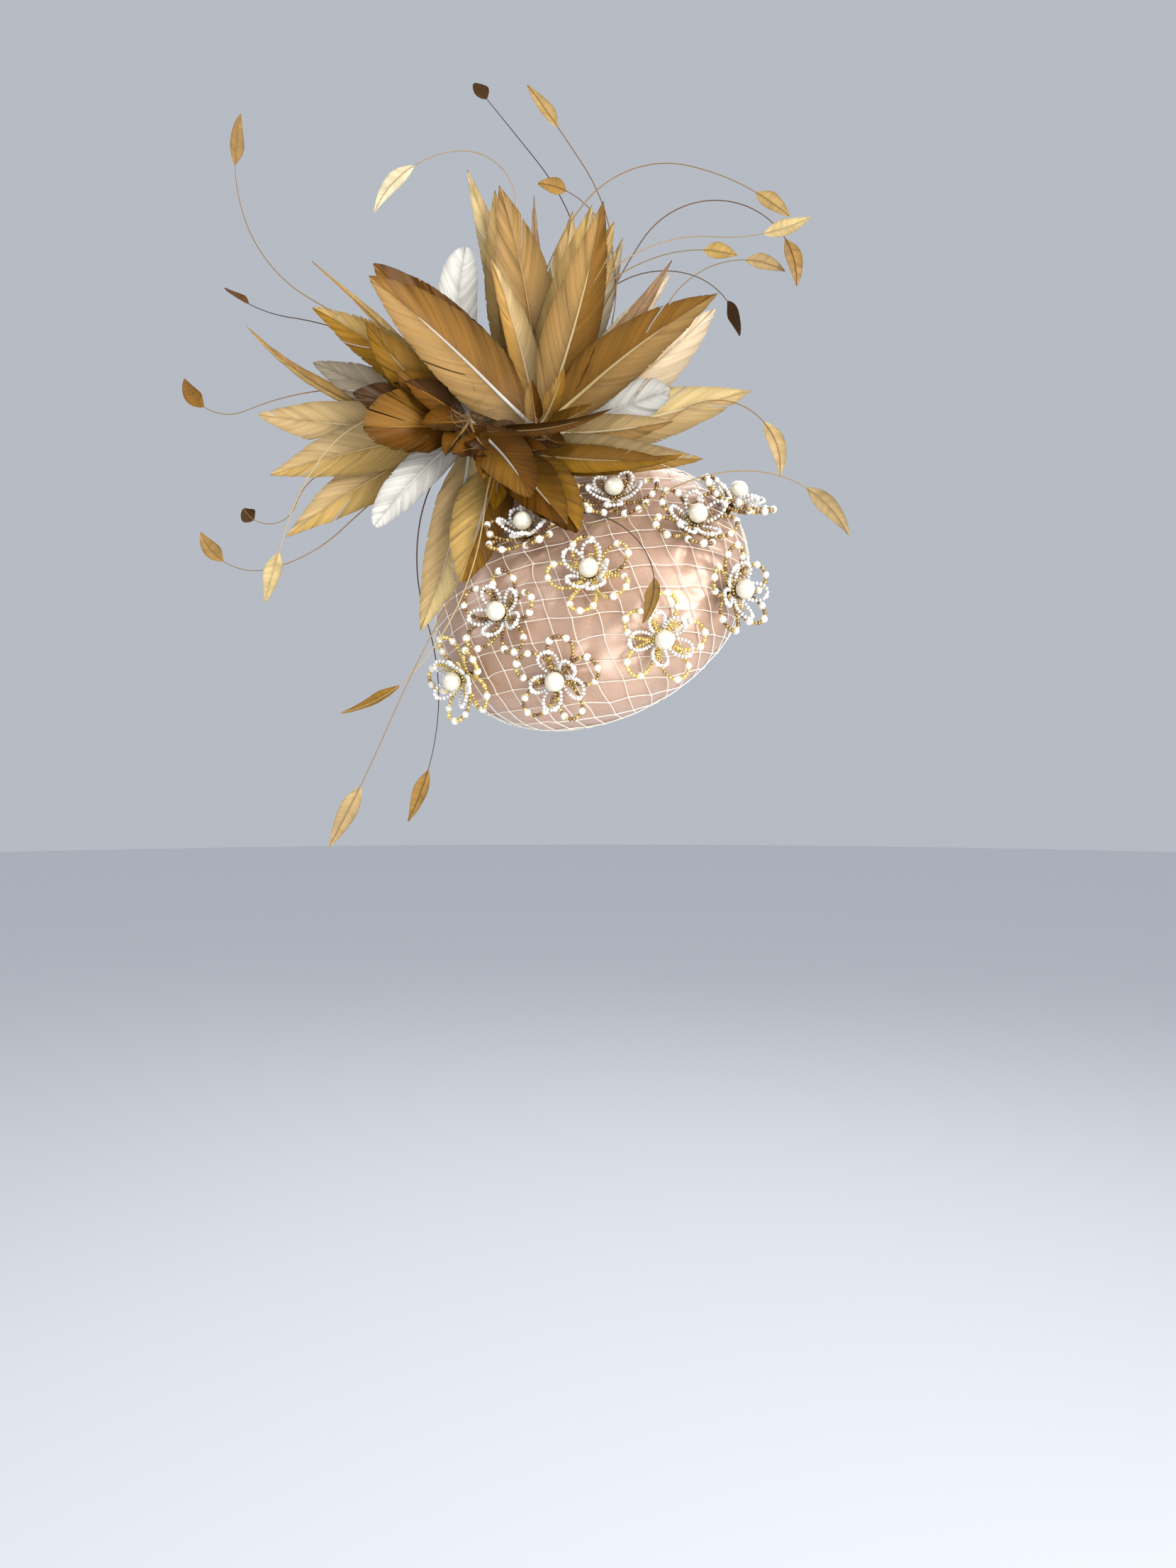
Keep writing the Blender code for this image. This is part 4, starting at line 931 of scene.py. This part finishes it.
def vane_light(base, uneven_light, parted):
    """How light each point of a vane is: painted shade at its edge, beside its quill, at its root and at the
    splits, and darker towards its tip.
    """
    out = BARB_STATIONS[None, :]
    # Painted shade at the outer edge and beside the quill, over the barbs' uneven tone
    light = uneven_light[:, None] * (1 - EDGE_SHADE * out ** 6) * (1 - QUILL_SHADE * np.exp(-out * 9))
    # Painted shade at the root, where the feathers crowd together; then darker towards the tip
    light = light * (ROOT_LIGHT + ROOT_RISE * np.minimum(1, 1.6 * base[:, None]))
    light = light * (1 - TIP_SHADE * base[:, None] ** 4)
    # Painted shade in the splits
    for where in parted:
        light = light * (1 - SPLIT_SHADE * np.exp(-((base - where) / 0.01) ** 2)[:, None] * out)
    return light


def vane_faces(barbs, side, breaks, loose):
    """Quads between neighbouring barbs, left open at the splits and where barbs are loose at the edge."""
    wide = len(BARB_STATIONS)
    faces = []
    for barb in range(barbs - 1):
        held = wide - 1
        if loose[barb]:
            held = wide - 2
        if barb in breaks:
            held = 2
        low = barb * wide
        for step in range(held):
            corners = (low + step, low + step + 1, low + wide + step + 1, low + wide + step)
            faces.append(corners if side > 0 else corners[::-1])
    return faces


def vane(maker, quill, side, half_width, bare, tip, colour, fray, cup, splits, barbs, shaft):
    """One side of a feather: barbs that leave the quill, bend towards its tip and hold together as a sheet.

    The sheet is parted at the splits, and its barbs come apart at the very edge.
    """
    out = BARB_STATIONS
    base = bare + (VANE_END - bare) * np.linspace(0, 1, barbs)
    parted = [bare + (1 - bare) * split for split in splits]
    clumps = barb_noise(base, 17, side * 3.7, quill.points[0][0] * 900)
    waves = barb_noise(base, 6, side * 9.1, quill.points[1][0] * 700)
    streaks = np.convolve(chance.normal(0, 1, barbs + 2), (0.4, 0.8, 0.4), "valid")
    uneven = 1 - fray * (0.05 * chance.random(barbs) ** 2 + 0.10 * np.clip(clumps, 0, 1))
    uneven = uneven * (1 - 0.012 * np.abs(streaks))
    advance = BARB_SLANT * half_width / quill.length
    ends = np.minimum(base + advance * (1 - base ** 3), 1.0)
    along = base[:, None] + (ends - base)[:, None] * out[None, :] ** BARB_BEND
    for where in parted:
        away = base - where
        part = np.sign(away) * np.exp(-np.abs(away) / (SPLIT_SPREAD * (1 - bare)))
        part = part * SPLIT_OPENING / quill.length
        along = along + part[:, None] * np.clip(out - 0.25, 0, 1)[None, :] ** 1.5
    place = np.clip((ends - bare) / (1 - bare), 0, 1)
    reach = half_width * vane_share(place, tip) * uneven
    across = reach[:, None] * out[None, :] ** BARB_SPREAD
    point, sideways, facing = quill.at(along)
    depth = cup * half_width * (across / half_width) ** 2
    ripple = (clumps * CLUMP_LIFT + waves * WAVE_LIFT + streaks * STREAK_LIFT) * MM
    ripple = ripple * min(1.0, half_width / RIPPLED_WIDTH)
    depth = depth + ripple[:, None] * out[None, :] ** 1.5
    depth = depth + shaft * 0.5 * (1 - out[None, :]) ** 4
    points = point + sideways * (side * across)[..., None] + facing * depth[..., None]
    grain = np.zeros((barbs, len(out), 3))
    grain[..., 0] = (base * quill.length / MM)[:, None]
    grain[..., 1] = across / MM
    grain[..., 2] = side * 20 + quill.points[0][0] / MM * 7
    uneven_light = 1 + STREAK_LIGHT * streaks + CLUMP_LIGHT * clumps + WAVE_LIGHT * waves
    # The vane's colour carries the painted shade of vane_light
    light = vane_light(base, uneven_light, parted)
    tone = np.clip(light[..., None] * colour, 0, 1)
    breaks = {int(np.argmin(np.abs(base - where))) for where in parted}
    loose = chance.random(barbs) < LOOSE_SHARE * fray
    faces = vane_faces(barbs, side, breaks, loose)
    maker.add(points.reshape(-1, 3), faces, tone.reshape(-1, 3), VANE, grain)


def shaft_of(maker, quill, thick, until, base_colour, end_colour, stations=26, taper=0.86):
    """The quill's own stem, tapered to its end."""
    share = np.linspace(0, until, stations)
    point, _, facing = quill.at(share)
    radii = thick * (1 - taper * (share / until) ** 1.2)
    blend = (share / until)[:, None] ** 0.8
    tone = base_colour * (1 - blend) + end_colour * blend
    tube(maker, point + facing * (radii * 0.5)[:, None], radii, tone, 6, QUILL, 0.8)


def head_front(layer):
    """The depth of the front of a layer's bound head."""
    return PAD_FRONT_Y - (list(LAYERS).index(layer) + 1) * (HEAD_THICKNESS + FIT_GAP)


def stacked_depths(layer):
    """The depth at which each feather and wisp of a layer is bound, as in the part's source."""
    front = head_front(layer)
    bound = [(row.lean, row) for row in FEATHERS if row.layer == layer]
    bound += [(row.leans[0], row) for row in WISPS if row.layer == layer]
    bound.sort(key=lambda entry: entry[0])
    depths = []
    for place, (_, row) in enumerate(bound):
        share = QUILL_STACK_BACK + (QUILL_STACK_FRONT - QUILL_STACK_BACK) * place / (len(bound) - 1)
        depths.append((row, front + HEAD_THICKNESS * share))
    return depths


def anchor_point(anchor, y):
    """Where quills are bound, in the plane at a depth."""
    along, up = ANCHORS[anchor]
    return np.array([MOUNT_X + along * PAD_HALF_LENGTH, y, MOUNT_Z + up * PAD_HALF_HEIGHT])


def dress_feather(maker, row, start):
    """One broad feather: two vanes of barbs on a tapered quill."""
    clocks = (row.clock - row.bend, row.clock, row.clock + row.bend)
    length = row.length * FEATHER_LENGTH
    quill = Quill(start, clocks, (row.lean, row.lean), FEATHER_RAMP, length, row.twist)
    half = row.width * FEATHER_WIDTH / 2
    thick = QUILL_THICKNESS + 0.35 * MM * row.width
    barbs = int(FEATHER_BARBS + BARBS_FOR_LENGTH * row.length)
    for side, colour in ((1, row.left), (-1, row.right)):
        parted = row.splits[::2] if side > 0 else row.splits[1::2]
        vane(maker, quill, side, half, row.bare * BARE_SHOWN, row.tip, paint(colour), row.fray, row.cup,
             parted, barbs, thick)
    end = paint(row.quill) * 0.6 + paint(row.left) * 0.4
    shaft_of(maker, quill, thick, 0.985, paint(row.quill), end)


def dress_wisp(maker, row, start):
    """One stripped quill with its small leaf."""
    length = row.length * WISP_LENGTH
    leaf = row.leaf * WISP_LEAF_LENGTH / length
    quill = Quill(start, row.clocks, row.leans, WISP_RAMP, length)
    angle = math.radians(row.twist)
    across = quill.across
    quill.across = across * math.cos(angle) + quill.facing * math.sin(angle)
    quill.facing = unit(np.cross(quill.along, quill.across))
    half = WISP_LEAF_WIDTH / 2
    for side in (1, -1):
        # The leaf's right half is a darker copy of its colour: painted shade on that half
        shade = paint(row.colour, 1.0 if side > 0 else 0.86)
        vane(maker, quill, side, half, 1 - leaf, WISP_LEAF_TIP, shade, 0.15, 0.3, (), WISP_LEAF_BARBS,
             0.3 * MM)
    shaft_of(maker, quill, WISP_QUILL / 2, 0.995, paint(row.quill), paint(row.quill, 0.7), 70, 0.55)


def dress_layer(layer, finishes):
    """All the feathers and wisps of one layer, with the bound head behind them."""
    maker = Maker()
    front = head_front(layer)
    for row, depth in stacked_depths(layer):
        start = anchor_point(row.anchor, depth)
        if isinstance(row, Feather):
            dress_feather(maker, row, start)
        else:
            dress_wisp(maker, row, start)
    along, up = LAYERS[layer]
    half_length = HEAD_HALF_LENGTH * along * HEAD_SHOWN
    half_height = HEAD_HALF_HEIGHT * up * HEAD_SHOWN
    add_pad(maker, half_length, half_height, HEAD_THICKNESS, front, paint("umber"), CORE)
    node = "plume_" + layer
    materials = [finishes["vane"], finishes["quill"], finishes["felt"]]
    return maker.build("feathers_" + layer, materials, (node,))


# The pad's rounded edge: shares of its half size and of its thickness, from the front's middle to the back's
PAD_EDGE = ((0.0, 0.0), (0.55, 0.0), (0.86, 0.03), (0.96, 0.14), (1.0, 0.35), (1.0, 0.65), (0.96, 0.86),
            (0.86, 0.97), (0.55, 1.0), (0.0, 1.0))
PAD_SIDES = 56
FOOT_SIDES = 32
FOOT_STEPS = 9
STITCHES = 64
STITCH_RADIUS = 0.28 * MM
SEAT_LOWEST = 30 * MM
SEAT_HIGHEST = 110 * MM
SEAT_USUAL = 50 * MM


def add_pad(maker, half_length, half_height, thickness, front_y, tone, slot):
    """An oval pad with rounded edges, covered in felt."""
    angles = math.tau * np.arange(PAD_SIDES) / PAD_SIDES
    rows = []
    for reach, depth in PAD_EDGE:
        x = MOUNT_X + half_length * reach * np.cos(angles)
        z = MOUNT_Z + half_height * reach * np.sin(angles)
        rows.append(np.stack([x, np.full(PAD_SIDES, front_y + depth * thickness), z], -1))
    maker.add(np.array(rows), grid_faces(len(rows), PAD_SIDES, closed=True), tone, slot)


def mount_foot(maker, tone):
    """The pad's foot, squarish in section, which stands on the crown."""
    middle_y = PAD_FRONT_Y + PAD_THICKNESS / 2
    top = MOUNT_Z - PAD_HALF_HEIGHT * 0.5
    seat = crown_height_at(MOUNT_X, middle_y)
    angles = math.tau * np.arange(FOOT_SIDES) / FOOT_SIDES
    square_x = np.sign(np.cos(angles)) * np.abs(np.cos(angles)) ** 0.35 * FOOT_WIDTH / 2
    square_y = np.sign(np.sin(angles)) * np.abs(np.sin(angles)) ** 0.45 * PAD_THICKNESS * 0.35
    rows = []
    for z in seat + (top - seat) * np.arange(FOOT_STEPS) / (FOOT_STEPS - 1):
        rows.append(np.stack([MOUNT_X + square_x, middle_y + square_y, np.full(FOOT_SIDES, z)], -1))
    foot = np.array(rows)
    for index, (x, y, _) in enumerate(foot[0]):
        foot[0, index, 2] = crown_height_at(x, y) + FIT_GAP
    maker.add(foot, grid_faces(FOOT_STEPS, FOOT_SIDES, closed=True), tone, FELT)


def mount_stitches(maker):
    """Overcast stitches round the edge of the pad's back."""
    for number in range(STITCHES):
        angle = math.tau * number / STITCHES
        ends = []
        for reach, depth in ((0.90, 0.93), (0.985, 0.6)):
            x = MOUNT_X + PAD_HALF_LENGTH * reach * math.cos(angle)
            y = PAD_FRONT_Y + PAD_THICKNESS * depth + FIT_GAP
            ends.append((x, y, MOUNT_Z + PAD_HALF_HEIGHT * reach * math.sin(angle)))
        tube(maker, np.linspace(ends[0], ends[1], 4), STITCH_RADIUS, paint("umber"), 5, STITCH)


def make_mount(finishes):
    """The covered pad behind the feathers with its foot on the crown, sewn round its edge."""
    maker = Maker()
    felt = paint("tan", 0.6)
    add_pad(maker, PAD_HALF_LENGTH, PAD_HALF_HEIGHT, PAD_THICKNESS, PAD_FRONT_Y, felt, FELT)
    mount_foot(maker, felt)
    mount_stitches(maker)
    return maker.build("mount_pad", [finishes["felt"], finishes["net"]], ("plume_mount",))


def crown_height_at(x, y):
    """The height in the frame at which the upright through (x, y) leaves the crown's top."""
    best = None
    for z in np.linspace(SEAT_LOWEST, SEAT_HIGHEST, 161):
        local = HAT.T @ np.array([x, y, z])
        if local[2] < 0:
            continue
        ratio = math.hypot(local[0] / CROWN_HALF_LENGTH, local[1] / CROWN_HALF_WIDTH)
        if ratio ** CROWN_SQUARENESS + (local[2] / CROWN_HEIGHT) ** CROWN_SQUARENESS < 1:
            best = z
    return SEAT_USUAL if best is None else best


# How many downy barbs stand at each anchor
DOWN_COUNTS = {"side": 44, "upper": 40, "low": 12}
DOWN_COLOURS = ("tan", "caramel", "umber", "bronze", "brown")
DOWN_SPREAD = 4.5 * MM
DOWN_RADIUS = 0.11 * MM


def make_down(finishes):
    """Short feathers, downy barbs and torn ends round the places where the quills are bound."""
    maker = Maker()
    front = head_front("front")
    for row in TUCKED:
        dress_feather(maker, row, anchor_point(row.anchor, front + HEAD_THICKNESS * QUILL_STACK_FRONT))
    for anchor, count in DOWN_COUNTS.items():
        for _ in range(count):
            spread = chance.normal(0, DOWN_SPREAD, 3) * (1.0, 0.4, 0.7)
            start = anchor_point(anchor, front - 1.0 * MM) + spread
            clock = chance.uniform(0, 360)
            bend = chance.normal(0, 70)
            lean = chance.uniform(5, 55)
            hair = Quill(start, (clock, clock + bend, clock + 2 * bend), (lean, lean), 0.2,
                         chance.uniform(8, 24) * MM)
            share = np.linspace(0, 1, 9)
            point, _, _ = hair.at(share)
            colour = DOWN_COLOURS[chance.integers(5)]
            tube(maker, point, DOWN_RADIUS * (1.1 - share), paint(colour), 4, CORE)
    materials = [finishes["vane"], finishes["quill"], finishes["down"]]
    return maker.build("down_tufts", materials, ())


# Flowers

SEED_RADIUS = 1.16 * MM
SEED_PITCH = 1.95 * MM
TINY_RADIUS = 0.72 * MM
SMALL_PEARL_RADIUS = 2.0 * MM
LOOP_WIRE = 0.22 * MM
OUTER_LENGTH = 20.3 * MM
OUTER_WIDTH = 15.5 * MM
INNER_LENGTH = 14.0 * MM
INNER_WIDTH = 9.6 * MM
OUTER_CUP = 14
INNER_CUP = 30
LOOP_NECK = 0.62
LOOP_SWELL = 0.52
LOOP_CURL = 0.12
OUTER_PEARLS = (0.34, 0.5, 0.66)
OUTER_PEARLS_FEWER = (0.4, 0.6)

TIP_PEARL_RADIUS = 1.35 * MM
INNER_HUB_DROP = 1.6 * MM
# Short strings inside the inner petals: how far each stands off the petal's middle, in degrees
STRING_LEANS = (-4, 4)
STRING_LENGTH = 0.62 * INNER_LENGTH
STRING_WIDTH = 0.4 * MM
STRING_PITCH = 1.45 * MM
# The rings of tiny beads under the pearl: radius and height below its middle, in millimetres, and the count
COLLAR_RINGS = ((4.7, -3.6, 18), (3.9, -5.2, 14))
COIL_STEPS = 73
COIL_STEPS_A_TURN = 12
COIL_PITCH = 0.1 * MM
COIL_START = 0.4 * MM

SEED_SHAPE = round_shape(8, 5)
PEARL_SHAPE = round_shape(14, 9)
CENTRE_PEARL_SHAPE = round_shape(36, 24)


def flower_axes(row, pearl):
    """A flower's matrix, from its row and the centre of its pearl in the frame."""
    azimuth = math.radians(row.azimuth)
    normal = Vector(crown_normal(azimuth, row.rise))
    up = Vector(HAT.T @ np.array([0, 0, 1.0]))
    tipped = Matrix.Rotation(math.radians(row.tip), 3, normal.cross(up).normalized()) @ normal
    side = up.cross(tipped).normalized()
    axes = Matrix((side, tipped.cross(side), tipped)).transposed()
    axes = np.array(axes @ Matrix.Rotation(math.radians(row.turn), 3, "Z"))
    turned = HAT @ axes
    foot = pearl - turned @ np.array([0, 0, FOOT_HEIGHT + HUB_HEIGHT + FIT_GAP + PEARL_RADIUS])
    return turned, foot


def petal_loop(length, width, cup, turn, level, count=64):
    """The course of one looped petal in the flower's axes, from the hub out and back."""
    phase = np.linspace(0, math.tau, count)
    out = length * (0.5 - 0.5 * np.cos(phase))
    across = width / 2 * np.sin(phase) * (LOOP_NECK + LOOP_SWELL * out / length)
    base = HUB_RADIUS * 0.75
    rise = math.radians(cup)
    curl = LOOP_CURL * out * out / length
    x = base + out * math.cos(rise)
    z = level + out * math.sin(rise) + curl
    angle = math.radians(turn)
    return np.stack([x * math.cos(angle) - across * math.sin(angle),
                     x * math.sin(angle) + across * math.cos(angle), z], -1)


def spaced(path, pitch):
    """Points at an even pitch along a path, with the direction at each."""
    lengths = np.concatenate([[0], np.cumsum(np.linalg.norm(np.diff(path, axis=0), axis=1))])
    count = max(2, int(lengths[-1] / pitch))
    at = (np.arange(count) + 0.5) * lengths[-1] / count
    places = np.stack([np.interp(at, lengths, path[:, axis]) for axis in range(3)], -1)
    ahead = np.stack([np.interp(at + pitch * 0.3, lengths, path[:, axis]) for axis in range(3)], -1)
    return places, unit(ahead - places + 1e-9), at / lengths[-1]


def string_bead(maker, place, direction, radius, shape, tone, slot, squash=0.86):
    """One bead, set along its string and a little shorter that way than it is wide."""
    ball, faces = shape
    side = unit(np.cross(direction, (0.31, 0.52, 0.79)))
    other = np.cross(direction, side)
    turned = np.stack([side, other, direction * squash], 0)
    maker.add(place + (ball * radius) @ turned, faces, tone, slot)


def gold_tone_and_glint(bright):
    """The colour of one gold bead: bronze or gold, with a random lightness that paints glints, the lightest a
    pale glint.
    """
    mix = np.clip(bright + chance.normal(0, 0.35), 0, 1)
    # A random lightness over the bronze-to-gold mix: painted glints
    return (paint("bronze_bead") * (1 - mix) + paint("gold_bead") * mix) * chance.uniform(0.75, 1.2)


def clear_tone_and_glint():
    """The colour of one clear bead, made darker at random to paint its sparkle."""
    # Random darkening from bead to bead: painted sparkle
    return paint("clear_bead") * chance.uniform(0.6, 1.0)


def bead_outer_petal(maker, path, bright):
    """A loop of gold seed beads with two or three small pearls along its outer end."""
    pearls = OUTER_PEARLS if chance.random() < 0.7 else OUTER_PEARLS_FEWER
    offset = chance.normal(0, 0.02)
    places, directions, shares = spaced(path, SEED_PITCH)
    spots = [int(np.argmin(np.abs(shares - pearl - offset))) for pearl in pearls]
    for index, (place, direction) in enumerate(zip(places, directions)):
        if index in spots:
            size = SMALL_PEARL_RADIUS * chance.uniform(0.92, 1.08)
            string_bead(maker, place, direction, size, PEARL_SHAPE, paint("small_pearl"), PEARL, 1.0)
        elif min(abs(index - spot) for spot in spots) > 0:
            size = SEED_RADIUS * chance.uniform(0.98, 1.14)
            string_bead(maker, place, direction, size, SEED_SHAPE, gold_tone_and_glint(bright), GOLD)


def bead_inner_petal(maker, path):
    """A loop of clear seed beads with a small pearl at its tip."""
    places, directions, shares = spaced(path, SEED_PITCH)
    spot = int(np.argmin(np.abs(shares - chance.uniform(0.4, 0.6))))
    for index, (place, direction) in enumerate(zip(places, directions)):
        if index == spot:
            tone = paint("tip_pearl")
            string_bead(maker, place, direction, TIP_PEARL_RADIUS, PEARL_SHAPE, tone, PEARL, 1.0)
        else:
            size = SEED_RADIUS * chance.uniform(0.86, 1.0)
            string_bead(maker, place, direction, size, SEED_SHAPE, clear_tone_and_glint(), CLEAR)


def bead_strings(maker, worn, turn, level, bright):
    """Two short strings of tiny gold beads inside an inner petal."""
    for lean in STRING_LEANS:
        course = petal_loop(STRING_LENGTH, STRING_WIDTH, INNER_CUP - 8, turn + lean, level, 24)
        places, directions, _ = spaced(worn(course[:13]), STRING_PITCH)
        for place, direction in zip(places, directions):
            string_bead(maker, place, direction, TINY_RADIUS, SEED_SHAPE, gold_tone_and_glint(bright), GOLD)


def bead_petals(maker, worn, bright):
    """Five outer loops, five inner ones between them, and the short strings inside those."""
    level = FOOT_HEIGHT + HUB_HEIGHT - INNER_HUB_DROP
    for petal in range(PETALS):
        turn = 360 / PETALS * petal
        length = OUTER_LENGTH * chance.uniform(0.95, 1.02)
        width = OUTER_WIDTH * chance.uniform(0.86, 1.04)
        cup = OUTER_CUP + chance.normal(0, 7)
        outer = worn(petal_loop(length, width, cup, turn + chance.normal(0, 4), FOOT_HEIGHT))
        bead_outer_petal(maker, outer, bright)
        tube(maker, outer, LOOP_WIRE, paint("bronze"), 4, WIRE)
        length = INNER_LENGTH * chance.uniform(0.85, 1.1)
        width = INNER_WIDTH * chance.uniform(0.85, 1.1)
        turn += 180 / PETALS + chance.normal(0, 5)
        inner = worn(petal_loop(length, width, INNER_CUP + chance.normal(0, 11), turn, level, 40))
        bead_inner_petal(maker, inner)
        tube(maker, inner, LOOP_WIRE, paint("bronze"), 4, WIRE)
        bead_strings(maker, worn, turn, level, bright)


def bead_collar(maker, worn, turned, bright):
    """Two rings of tiny gold beads that seat the pearl."""
    for ring, (radius, height, count) in enumerate(COLLAR_RINGS):
        for bead in range(count):
            angle = math.tau * (bead + 0.5 * ring) / count
            spot = np.array([radius * math.cos(angle), radius * math.sin(angle), 0]) * MM
            spot[2] = FOOT_HEIGHT + HUB_HEIGHT + PEARL_RADIUS + height * MM
            direction = turned @ np.array([-math.sin(angle), math.cos(angle), 0])
            string_bead(maker, worn(spot), direction, TINY_RADIUS, SEED_SHAPE, gold_tone_and_glint(bright), GOLD)


def wrap_stem(maker, worn):
    """The flower's stem, with the ends of the wires wound round it."""
    stem = np.array([[0, 0, 0.2 * MM], [0, 0, FOOT_HEIGHT], [0, 0, FOOT_HEIGHT + HUB_HEIGHT]])
    tube(maker, worn(stem), (FOOT_RADIUS, FOOT_RADIUS, FOOT_RADIUS * 1.4), paint("umber"), 10, WIRE)
    coil = []
    for step in range(COIL_STEPS):
        angle = math.tau * step / COIL_STEPS_A_TURN
        coil.append((1.05 * FOOT_RADIUS * math.cos(angle), 1.05 * FOOT_RADIUS * math.sin(angle),
                     COIL_START + step * COIL_PITCH))
    tube(maker, worn(coil), LOOP_WIRE, paint("bronze"), 4, WIRE)


def make_flower(number, row, finishes):
    """One wired bead flower, and its centre pearl."""
    low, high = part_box(f"pearl_{number:02d}")
    pearl = (np.array(low) + np.array(high)) / 2
    turned, foot = flower_axes(row, pearl)

    def worn(path):
        return foot + np.asarray(path) @ turned.T

    maker = Maker()
    bead_petals(maker, worn, row.bright)
    bead_collar(maker, worn, turned, row.bright)
    wrap_stem(maker, worn)
    materials = [finishes["gold_bead"], finishes["clear_bead"], finishes["pearl"], finishes["wire"]]
    maker.build(f"bead_flower_{number:02d}", materials, (f"flower_{number:02d}",))
    centre = Maker()
    ball, faces = CENTRE_PEARL_SHAPE
    centre.add(pearl + (ball * PEARL_RADIUS) @ turned.T, faces, paint("centre_pearl"))
    centre.build(f"centre_pearl_{number:02d}", [finishes["pearl"]], (f"pearl_{number:02d}",))


# Stage

LIGHT_AIM = Vector((0, 0, 30 * MM))
SURROUND_COLOUR = (0.47, 0.50, 0.55, 1)
FLOOR_COLOUR = (0.84, 0.85, 0.87, 1)
FLOOR_RADIUS = 12
FLOOR_HEIGHT = -0.75
FLOOR_SIDES = 64
# Places in metres, sizes in metres, powers in watts and spreads in degrees
Softbox = namedtuple("Softbox", "name place size power spread")
SOFTBOXES = (
    Softbox("key_softbox", (1.14, -1.24, 0.47), 1.1, 33, 180),
    Softbox("middle_softbox", (0.64, -1.36, -0.1), 0.5, 1.1, 100),
    Softbox("low_softbox", (0.15, -1.3, -0.45), 0.75, 1.7, 80),
    Softbox("left_softbox", (-1.5, -0.9, 1.0), 1.0, 8, 180),
    Softbox("back_softbox", (0.3, 1.3, 1.4), 1.2, 12, 180),
)


def add_softbox(box):
    """A square studio softbox that points at the hat."""
    lamp = bpy.data.lights.new(box.name, "AREA")
    lamp.size = box.size
    lamp.energy = box.power
    lamp.spread = math.radians(box.spread)
    light = bpy.data.objects.new(box.name, lamp)
    light.location = box.place
    light.rotation_euler = (LIGHT_AIM - Vector(box.place)).to_track_quat("-Z", "Y").to_euler()
    bpy.context.scene.collection.objects.link(light)


def make_camera():
    """The camera, at the photograph's angle."""
    lens = bpy.data.cameras.new("camera")
    lens.lens = CAMERA_LENS
    lens.clip_start = 0.01
    camera = bpy.data.objects.new("camera", lens)
    camera.location = CAMERA_PLACE
    camera.rotation_euler = (math.pi / 2, 0, 0)
    bpy.context.scene.collection.objects.link(camera)
    bpy.context.scene.camera = camera


def make_surround():
    """An even grey-blue light from all round."""
    world = bpy.data.worlds.new("surround")
    world.use_nodes = True
    background = world.node_tree.nodes["Background"]
    background.inputs["Color"].default_value = SURROUND_COLOUR
    background.inputs["Strength"].default_value = 1.0
    bpy.context.scene.world = world
    bpy.context.scene.view_settings.view_transform = "Standard"


def make_floor():
    """A wide pale floor well below the hat."""
    pale = bpy.data.materials.new("pale_floor")
    pale.use_nodes = True
    shader = pale.node_tree.nodes["Principled BSDF"]
    shader.inputs["Base Color"].default_value = FLOOR_COLOUR
    shader.inputs["Roughness"].default_value = 0.9
    angles = [math.tau * side / FLOOR_SIDES for side in range(FLOOR_SIDES)]
    rim = [(FLOOR_RADIUS * math.cos(angle), FLOOR_RADIUS * math.sin(angle), FLOOR_HEIGHT) for angle in angles]
    mesh = bpy.data.meshes.new("floor")
    mesh.from_pydata(rim, [], [tuple(range(FLOOR_SIDES))])
    mesh.materials.append(pale)
    floor = bpy.data.objects.new("floor", mesh)
    bpy.context.scene.collection.objects.link(floor)


def make_stage():
    """Camera, softboxes, surround and floor."""
    make_camera()
    for box in SOFTBOXES:
        add_softbox(box)
    make_surround()
    make_floor()


def colour_comb(finish):
    """Give the comb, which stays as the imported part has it, its finish."""
    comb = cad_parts["comb"]
    comb.data.materials.clear()
    comb.data.materials.append(finish)


def main():
    """Set the stage, then dress the hat from the crown outwards."""
    make_stage()
    finishes = make_finishes()
    satin = make_satin(finishes["satin"])
    make_lining(finishes["lining"])
    make_veil(finishes["net"])
    make_mount(finishes)
    for layer in LAYERS:
        dress_layer(layer, finishes)
    make_down(finishes)
    for number, row in enumerate(FLOWERS, start=1):
        make_flower(number, row, finishes)
    colour_comb(finishes["horn"])


main()
